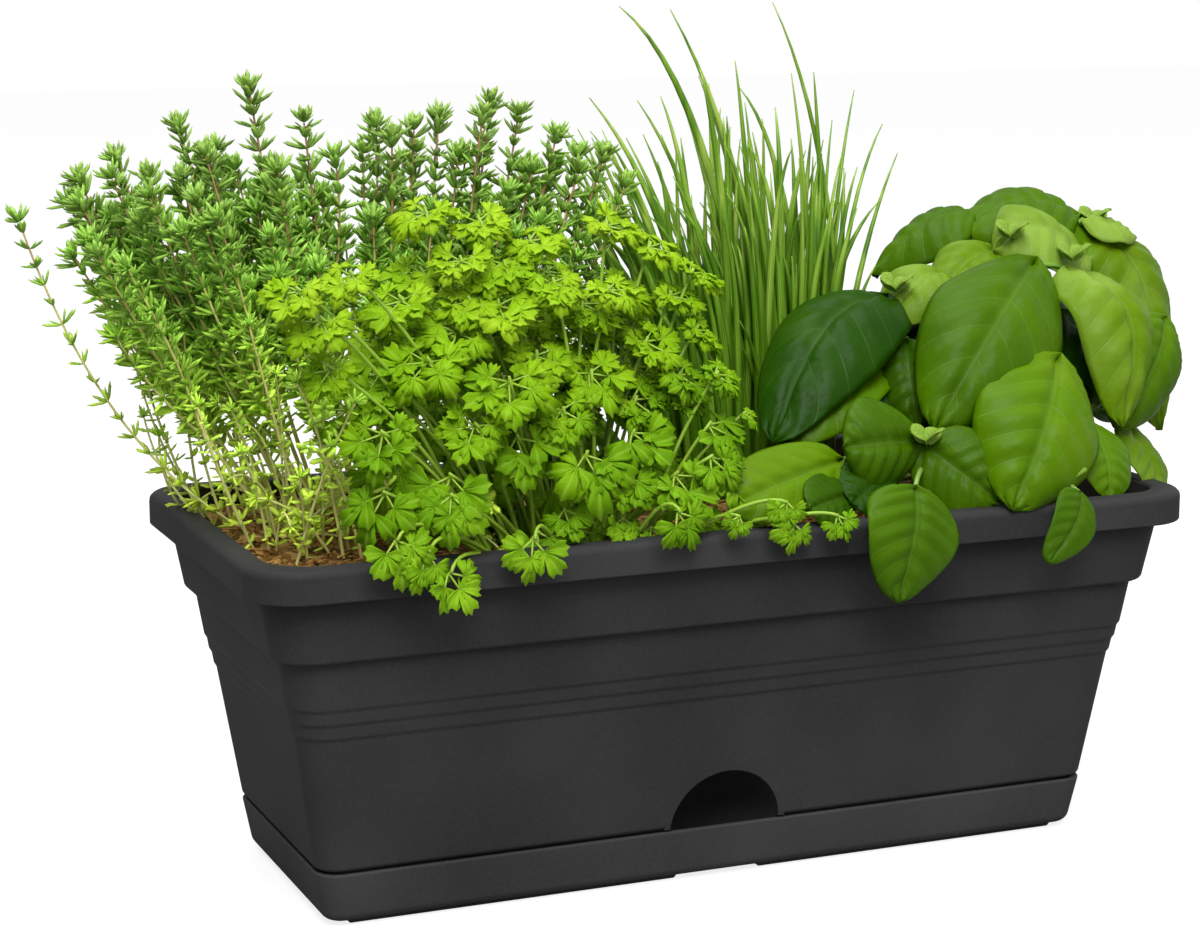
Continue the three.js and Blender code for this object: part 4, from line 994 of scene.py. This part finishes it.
def parsley_growth(herbs):
    """Stalks and leaves of the parsley; each leaf is three or five stalked groups of leaflets."""
    rng = random.Random(herbs.seed + 1)
    stalks, parts = bmesh.new(), [bmesh.new() for _ in range(2)]
    stalk, twig = rod(6, PARSLEY_STEPS), rod(4, TWIG_STEPS)
    fine = [parsley_fan(*bend, TOOTHED_EDGE) for bend in FINE_BENDS]
    broad = [parsley_fan(*bend, ROUND_EDGE) for bend in BROAD_BENDS]
    for index, (spot, scale, hangs) in enumerate(parsley_places(herbs)):
        foot = PARSLEY_ROOT + Vector(((spot.x - PARSLEY_ROOT.x) * 0.35, (spot.y - PARSLEY_ROOT.y) * 0.3))
        x, y = foot.x + rng.uniform(-6, 6), min(max(foot.y + rng.uniform(-8, 8), -54), -18)
        foot = Vector((x, y, ROOT_LEVEL + 1))
        crest, facing, along = parsley_stance(foot, spot, scale, hangs, rng)
        lay(stalks, stalk, bow(foot * MM, crest * MM, spot * MM, PARSLEY_STEPS), 0.75 * MM, 0.5 * MM)
        reach = herbs.parsley_fan * scale
        low = hangs or spot.z < LOW_PARSLEY
        arms = PARSLEY_ARMS[:3] if low or scale < 0.7 else PARSLEY_ARMS
        fans = broad if low else fine
        for turn, arm, size in arms:
            way = Quaternion(facing, turn + rng.uniform(-0.15, 0.15)) @ along
            end = spot * MM + (way - facing * 0.12) * herbs.parsley_arm * scale * arm
            start = spot * MM - facing * 0.3 * reach
            lay(stalks, twig, bow(start, start.lerp(end, 0.5), end, TWIG_STEPS), 0.4 * MM, 0.3 * MM)
            aside = rng.choice((-0.9, 0.9))
            leaflets = ((0, 1.4), (aside, 0.95)) if low else ((0, 1), (-0.95, 0.8), (0.95, 0.8))
            for bend, share in leaflets:
                sway = Vector((rng.uniform(-0.4, 0.4), rng.uniform(-0.4, 0.4), rng.uniform(-0.3, 0.3)))
                tilt = facing + sway
                axis = Quaternion(facing, bend + rng.uniform(-0.2, 0.2)) @ way
                face = (tilt - axis * tilt.dot(axis)).normalized()
                unit = reach * size * share * rng.uniform(0.85, 1.1)
                root = end - axis * unit * 0.05
                plant(parts[index % len(parts)], rng.choice(fans), root, axis, face, (unit, unit, unit))
    drop(stalk, twig, *fine, *broad)
    return mesh_from(stalks), [mesh_from(part) for part in parts]


# The longest chive leaves in millimetres: tip and how far left of its foot the tip leans
CHIVE_LEAVES = [
    (5, 50, 258, 44), (20, 44, 257, 32), (-2, 58, 229, 34), (13, 54, 228, 26), (24, 30, 239, 14),
    (54, 40, 259, 24), (56, 30, 237, 8), (66, 34, 237, 6), (87, 46, 230, -18), (102, 54, 218, -30),
    (109, 56, 208, -36), (0, 52, 219, 20), (39, 36, 241, 8), (15, 40, 230, 16), (76, 40, 221, -8),
    (30, 44, 236, 22), (46, 48, 232, 18),
]
CHIVE_STEPS = 14
CHIVE_FOOT = Vector((38, 30))


def chive_growth(herbs):
    """The tuft of chives: tapered tubes that fan out from a dense foot and bend over at their tips."""
    rng = random.Random(herbs.seed + 2)
    tuft = bmesh.new()
    tube = rod(7, CHIVE_STEPS)
    tips = [Vector(leaf[:3]) for leaf in CHIVE_LEAVES]
    feet = [Vector((leaf[0] + leaf[3], CHIVE_FOOT.y + (leaf[1] - 44) * 0.3)) for leaf in CHIVE_LEAVES]
    while len(tips) < herbs.chive_count:
        spot = Vector((rng.uniform(-1, 1), rng.uniform(-1, 1)))
        if spot.length < 1:
            foot = CHIVE_FOOT + Vector((spot.x * 31, spot.y * 15))
            across = spot.x * rng.uniform(4, 26) + rng.uniform(-21, 3) * (1 - spot.x)
            deep = spot.y * rng.uniform(2, 12) + rng.uniform(-4, 16)
            high = 236 - 20 * spot.length - rng.uniform(0, 66)
            feet.append(foot)
            tips.append(Vector((foot.x + across, foot.y + deep, high)))
    for foot, tip in zip(feet, tips):
        start = Vector((foot.x, foot.y, ROOT_LEVEL))
        crest = start.lerp(tip, 0.15) + Vector((rng.uniform(-7, 7), rng.uniform(-6, 6), 0))
        crest.z = ROOT_LEVEL + (tip.z - ROOT_LEVEL) * rng.uniform(0.6, 0.85)
        path = bow(start * MM, crest * MM, tip * MM, CHIVE_STEPS)
        thick = herbs.chive_radius * rng.uniform(0.7, 1.2)
        lay(tuft, tube, path, thick, 0.15 * MM, 2.2)
    drop(tube)
    return mesh_from(tuft)


# The basil's leaves in millimetres: base, tip, width and tone, which is lower for older, darker leaves and is
# painted shade for leaves that sit in shade inside the plant, then the crest where a leaf bends over on its
# way, and the way it faces where that isn't outwards
BASIL_LEAVES = [
    ((120, -16, 179), (67, -48, 134), 49, 0.45),
    ((112, -44, 153), (83, -67, 112), 48, 0.6),
    ((132, -14, 176), (134, -46, 130), 42, 0.7, (152, -44, 174), (0.2, -0.85, 0.4)),
    ((162, -26, 160), (137, -38, 128), 36, 0.5),
    ((154, 6, 183), (170, -14, 121), 42, 0.65, (176, -6, 184), (0.15, -0.9, 0.35)),
    ((136, 16, 184), (178, 10, 168), 40, 0.5, (160, 18, 198)),
    ((74, -4, 168), (21, -32, 130), 45, 0.16, (44, -14, 176)),
    ((154, 14, 189), (112, 22, 184), 45, 0.5, (136, 20, 205)),
    ((122, 26, 190), (89, 34, 170), 38, 0.45, (106, 32, 196)),
    ((150, 0, 177), (112, -4, 181), 40, 0.8, (128, -2, 200)),
    ((121, 4, 178), (92, -4, 168), 38, 0.75, (108, -2, 188)),
    ((96, 0, 174), (72, -8, 160), 31, 0.75, (84, -6, 180)),
    ((72, -20, 157), (69, -34, 132), 32, 0.3),
    ((69, -14, 149), (46, -22, 136), 32, 0.1),
    ((72, -6, 152), (26, -29, 128), 35, 0.55),
    ((62, -48, 131), (33, -54, 132), 34, 0.4),
    ((36, -48, 127), (-7, -60, 118), 27, 0.65),
    ((63, -48, 130), (82, -62, 113), 30, 0.45),
    ((48, -71, 122), (39, -78, 90), 37, 0.45, (47, -80, 113), (0, -1, 0.1)),
    ((37, -54, 118), (16, -66, 117), 20, 0.3),
    ((51, -50, 122), (33, -60, 116), 24, 0.2),
    ((104, -71, 116), (90, -77, 97), 18, 0.45, (104, -77, 110), (0, -1, 0.1)),
    ((125, -44, 131), (123, -58, 110), 25, 0.6),
    ((146, -28, 128), (152, -42, 104), 27, 0.7),
    ((150, 6, 188), (170, 4, 182), 20, 0.8),
    ((128, 0, 166), (148, -20, 134), 42, 0.2),
    ((142, 0, 160), (164, -16, 134), 38, 0.2),
    ((90, 0, 160), (84, -24, 134), 36, 0.1),
    ((96, -20, 146), (90, -46, 118), 38, 0.15),
    ((84, -20, 140), (74, -40, 116), 34, 0.1),
    ((140, 22, 162), (172, 34, 130), 38, 0.4),
    ((112, 26, 164), (130, 42, 130), 36, 0.35),
    ((96, 16, 168), (78, 34, 142), 34, 0.35),
    ((124, 22, 176), (152, 42, 156), 38, 0.5),
    ((128, 4, 150), (160, -6, 124), 34, 0.2),
    ((84, 6, 148), (66, 10, 124), 30, 0.2),
]
# Tufts of young leaves in millimetres
BASIL_BUDS = [(62, -51, 131), (134, -14, 179), (106, -60, 117), (158, 12, 187), (75, -6, 171), (116, -6, 186)]
# Foot and top of each stem in millimetres
BASIL_STEMS = [
    ((100, -12), (113, -14, 176)), ((109, 2), (152, 10, 184)), ((85, -6), (80, -2, 166)),
    ((81, -22), (62, -44, 130)), ((107, -22), (120, -34, 146)), ((119, -8), (142, -20, 132)),
    ((97, 8), (118, 20, 184)),
]
# Shares of a stem's length at which leaves may join it
BASIL_JOINTS = (0.3, 0.45, 0.6, 0.75, 0.9, 1)
BASIL_HEART = Vector((95, -2, 122))
BASIL_STEPS = 8
PETIOLE_STEPS = 4
VEIN_PAIRS = 6
# How many vein spacings a side vein climbs from the midrib to the edge
VEIN_SLANT = 1.5


def basil_blade(base, crest, tip, width, facing, cup, tone, rng):
    """One broad leaf: domed, with a sunken midrib and skin puckered between its side veins."""
    columns, rows = 20, 28
    bm = bmesh.new()
    bmesh.ops.create_grid(bm, x_segments=columns, y_segments=rows, size=0.5)
    map_flat(bm.faces, bm.loops.layers.uv.new("UVMap"), lambda spot: (spot.x + 0.5, spot.y + 0.5))
    age_and_shade = bm.verts.layers.float.new("tone")
    rib = bow(base, crest, tip, rows)
    wave, skew = rng.uniform(0, FULL_TURN), rng.uniform(-0.12, 0.12)
    side = (tip - base).cross(facing).normalized()
    for vertex in bm.verts:
        across, share = 2 * vertex.co.x, vertex.co.y + 0.5
        row = round(share * rows)
        ahead = (rib[min(row + 1, rows)] - rib[max(row - 1, 0)]).normalized()
        normal = side.cross(ahead)
        half = width / 2 * 1.95 * share ** 0.42 * (1 - share) ** 0.6 + 0.5 * MM
        edge = abs(across)
        vein = math.cos(2 * math.pi * (VEIN_PAIRS * share - VEIN_SLANT * edge))
        puff = 0.034 * width * (0.5 - 0.5 * vein) * (1 - edge ** 3) * min(1, edge / 0.2)
        groove = 0.035 * width * math.exp(-(across / 0.1) ** 2)
        ripple = 0.03 * width * edge ** 4 * math.sin(9 * share + wave)
        dome = cup * half * (edge ** 2) + skew * half * across
        vertex[age_and_shade] = tone
        out = side * across * half * (1 - 0.12 * edge ** 2)
        vertex.co = rib[row] + out + normal * (puff - groove + ripple - dome)
    bmesh.ops.remove_doubles(bm, verts=bm.verts[:], dist=0.03 * MM)
    bmesh.ops.recalc_face_normals(bm, faces=bm.faces[:])
    return mesh_from(bm)


def basil_growth(herbs):
    """Stems and leaves of the basil."""
    rng = random.Random(herbs.seed + 3)
    stems, leaves = bmesh.new(), bmesh.new()
    stalk, petiole = rod(8, BASIL_STEPS), rod(6, PETIOLE_STEPS)
    lines = []
    for foot, top in BASIL_STEMS:
        start, end = mm(*foot, ROOT_LEVEL), mm(*top)
        crest = start.lerp(end, 0.5) + mm(rng.uniform(-4, 4), rng.uniform(-4, 4), 6)
        lines.append(bow(start, crest, end, BASIL_STEPS))
        lay(stems, stalk, lines[-1], 2 * MM, 1.2 * MM)
    joints = [at(line, share)[0] for line in lines for share in BASIL_JOINTS]
    for base, tip, width, tone, *bends in BASIL_LEAVES:
        base, tip = mm(*base), mm(*tip)
        middle = base.lerp(tip, 0.5)
        outward = (middle - BASIL_HEART * MM).normalized() + Vector((-0.25, -0.5, 0.25))
        facing = Vector(bends[1] if len(bends) > 1 else outward).normalized()
        crest = mm(*bends[0]) if bends else middle + facing * 0.3 * (tip - base).length
        cup = 0.15 if facing.z < 0.2 else rng.uniform(0.3, 0.5)
        take(leaves, basil_blade(base, crest, tip, width * MM, facing, cup, tone, rng))
        joint = min(joints, key=lambda spot: (spot - base).length + max(0, spot.z - base.z) * 2)
        bend = joint.lerp(base, 0.6) + mm(0, 0, 3)
        lay(stems, petiole, bow(joint, bend, base, PETIOLE_STEPS), 1 * MM, 0.7 * MM)
    upward = (UP + Vector((0, -0.6, 0))).normalized()
    for spot in BASIL_BUDS:
        for k in range(4):
            way = Quaternion(UP, k * math.pi / 2 + 0.4) @ Vector((1, 0, 0))
            base = mm(*spot)
            tip = base + (way * 6 + Vector((0, -2, 3 + 2 * (k % 2)))) * MM
            crest = base.lerp(tip, 0.5) + mm(0, 0, 3)
            take(leaves, basil_blade(base, crest, tip, 5.5 * MM, upward, 0.3, 1, rng))
    drop(stalk, petiole)
    return mesh_from(stems), mesh_from(leaves)


class PLANTER_OT_saucer(Operator):
    """Models the saucer on its foot rails"""
    bl_idname = "planter.saucer"
    bl_label = "Saucer"

    def execute(self, context):
        scene = context.scene
        mesh = saucer_moulding(scene.planter_moulding)
        # The lift of 1.3 is painted light, which draws the saucer lighter than its own charcoal because it
        # gets less light.
        material = moulded_polypropylene("saucer_polypropylene", scene.planter_colours, 1.3)
        piece = show("saucer_tray", mesh, material, "saucer", body="saucer", smooth=32)
        piece.modifiers.new("flat_faces", "WEIGHTED_NORMAL").keep_sharp = True
        return {"FINISHED"}


class PLANTER_OT_trough(Operator):
    """Models the trough with its rim, steps and watering mouth"""
    bl_idname = "planter.trough"
    bl_label = "Trough"

    def execute(self, context):
        scene = context.scene
        mesh = trough_moulding(scene.planter_moulding)
        material = moulded_polypropylene("trough_polypropylene", scene.planter_colours, 1)
        piece = show("trough_shell", mesh, material, "trough", smooth=32)
        piece.modifiers.new("flat_faces", "WEIGHTED_NORMAL").keep_sharp = True
        return {"FINISHED"}


class PLANTER_OT_soil(Operator):
    """Fills the trough with potting soil and strews crumbs, bark and fibres on it"""
    bl_idname = "planter.soil"
    bl_label = "Soil"

    def execute(self, context):
        scene = context.scene
        material = potting_mix(scene.planter_colours)
        show("soil_bed", soil_bed(scene.planter_moulding), material, "potting_soil")
        show("soil_litter", soil_litter(scene.planter_herbs), material, smooth=40)
        return {"FINISHED"}


class PLANTER_OT_thyme(Operator):
    """Grows the thyme"""
    bl_idname = "planter.thyme"
    bl_label = "Thyme"

    def execute(self, context):
        scene = context.scene
        stems, parts = thyme_growth(scene.planter_herbs)
        foliage = thyme_foliage(scene.planter_colours)
        show("thyme_stems", stems, thyme_wood(), "thyme")
        for i, part in enumerate(parts):
            show(f"thyme_leaves_{i + 1}", part, foliage)
        return {"FINISHED"}


class PLANTER_OT_parsley(Operator):
    """Grows the parsley"""
    bl_idname = "planter.parsley"
    bl_label = "Parsley"

    def execute(self, context):
        scene = context.scene
        stalks, parts = parsley_growth(scene.planter_herbs)
        foliage = parsley_foliage(scene.planter_colours)
        stalk_skin = green_stalk("parsley_stalk", "#9cc238", "#98c038")
        show("parsley_stalks", stalks, stalk_skin, "parsley")
        for i, part in enumerate(parts):
            piece = show(f"parsley_leaves_{i + 1}", part, foliage)
            piece.modifiers.new("thickness", "SOLIDIFY").thickness = scene.planter_herbs.parsley_thickness
        return {"FINISHED"}


class PLANTER_OT_chives(Operator):
    """Grows the chives"""
    bl_idname = "planter.chives"
    bl_label = "Chives"

    def execute(self, context):
        scene = context.scene
        tuft = chive_growth(scene.planter_herbs)
        show("chive_tuft", tuft, chive_skin(scene.planter_colours), "chives")
        return {"FINISHED"}


class PLANTER_OT_basil(Operator):
    """Grows the basil"""
    bl_idname = "planter.basil"
    bl_label = "Basil"

    def execute(self, context):
        scene = context.scene
        stems, leaves = basil_growth(scene.planter_herbs)
        show("basil_stems", stems, green_stalk("basil_stalk", "#8fae55", "#79a83c"), "basil")
        piece = show("basil_leaves", leaves, basil_foliage(scene.planter_colours))
        piece.modifiers.new("thickness", "SOLIDIFY").thickness = scene.planter_herbs.basil_thickness
        return {"FINISHED"}


# The studio lamps: name, place in metres, power in watts and size in metres
LAMPS = (("key", (-0.35, -1.0, 1.35), 21, 0.9), ("top", (-0.2, 0.25, 1.5), 11, 1.0))


def studio_world(scene):
    """Soft light from all round, dimmer from the left, and white where the camera sees it."""
    world = bpy.data.worlds.new("studio")
    world.use_nodes = True
    scene.world = world
    tree = world.node_tree
    path = add(tree, "LightPath")
    seen = add(tree, "Math", {"operation": "MAXIMUM", 0: path.outputs["Is Camera Ray"],
                              1: path.outputs["Is Transmission Ray"]})
    way = add(tree, "SeparateXYZ", {"Vector": add(tree, "TexCoord").outputs["Generated"]})
    side = add(tree, "MapRange", {"From Min": -0.9, "From Max": 0.1, "To Min": 0.14, "To Max": 0.62,
                                  "Value": way.outputs["X"]})
    strength = add(tree, "Math", {"operation": "MAXIMUM", 0: side, 1: seen})
    feed(tree, tree.nodes["Background"], {"Color": (1, 1, 1, 1), "Strength": strength})


def studio_floor(scene):
    """A pale floor that takes soft shadows and is nearly white where the camera sees it."""
    bm = bmesh.new()
    bmesh.ops.create_grid(bm, x_segments=8, y_segments=8, size=4)
    floor = bpy.data.objects.new("floor", mesh_from(bm))
    scene.collection.objects.link(floor)
    paint, tree, shader = finish_of("pale_floor", {
        "Base Color": linear("#989898"), "Roughness": 0.9, "Specular IOR Level": 0.0,
        "Emission Color": (1, 1, 1, 1)})
    path = add(tree, "LightPath")
    glow = add(tree, "Math", {"operation": "MULTIPLY", 0: path.outputs["Is Camera Ray"], 1: 0.82})
    feed(tree, shader, {"Emission Strength": glow})
    floor.data.materials.append(paint)


def aim(holder, target):
    """Turns a lamp or the camera towards a point."""
    holder.rotation_euler = (target - holder.location).to_track_quat("-Z", "Y").to_euler()


class PLANTER_OT_stage(Operator):
    """Sets the pale floor, the soft studio light and the camera"""
    bl_idname = "planter.stage"
    bl_label = "Stage"

    def execute(self, context):
        scene = context.scene
        scene.view_settings.view_transform = "Standard"
        studio_world(scene)
        studio_floor(scene)
        for name, spot, power, size in LAMPS:
            lamp = bpy.data.lights.new(name, "AREA")
            lamp.energy = power
            lamp.size = size
            holder = bpy.data.objects.new(name, lamp)
            holder.location = spot
            aim(holder, mm(0, 0, 120))
            scene.collection.objects.link(holder)
        camera = bpy.data.objects.new("camera", bpy.data.cameras.new("camera"))
        camera.data.sensor_width = 36
        camera.data.sensor_fit = "HORIZONTAL"
        camera.data.lens = 84.49
        camera.location = mm(-346.43, -781.33, 284.77)
        aim(camera, mm(-22.33, 0, 121.11))
        scene.collection.objects.link(camera)
        scene.camera = camera
        return {"FINISHED"}


class PLANTER_PT_panel(Panel):
    """Lists the planter's pieces"""
    bl_idname = "PLANTER_PT_panel"
    bl_label = "Balcony planter"
    bl_space_type = "VIEW_3D"
    bl_region_type = "UI"
    bl_category = "Planter"

    def draw(self, context):
        scene = context.scene
        for group in (scene.planter_moulding, scene.planter_herbs, scene.planter_colours):
            box = self.layout.box()
            for name in group.__annotations__:
                box.prop(group, name)
        for operator in OPERATORS:
            self.layout.operator(operator.bl_idname)


OPERATORS = (PLANTER_OT_stage, PLANTER_OT_saucer, PLANTER_OT_trough, PLANTER_OT_soil, PLANTER_OT_thyme,
             PLANTER_OT_parsley, PLANTER_OT_chives, PLANTER_OT_basil)
GROUPS = {
    "planter_moulding": PlanterMoulding,
    "planter_herbs": PlanterHerbs,
    "planter_colours": PlanterColours,
}
CLASSES = tuple(GROUPS.values()) + OPERATORS + (PLANTER_PT_panel,)


def register():
    for cls in CLASSES:
        bpy.utils.register_class(cls)
    for name, group in GROUPS.items():
        setattr(bpy.types.Scene, name, PointerProperty(type=group))


def unregister():
    for name in GROUPS:
        delattr(bpy.types.Scene, name)
    for cls in reversed(CLASSES):
        bpy.utils.unregister_class(cls)


def main():
    register()
    bpy.ops.planter.stage()
    bpy.ops.planter.saucer()
    bpy.ops.planter.trough()
    bpy.ops.planter.soil()
    bpy.ops.planter.thyme()
    bpy.ops.planter.parsley()
    bpy.ops.planter.chives()
    bpy.ops.planter.basil()


if __name__ == "__main__":
    main()
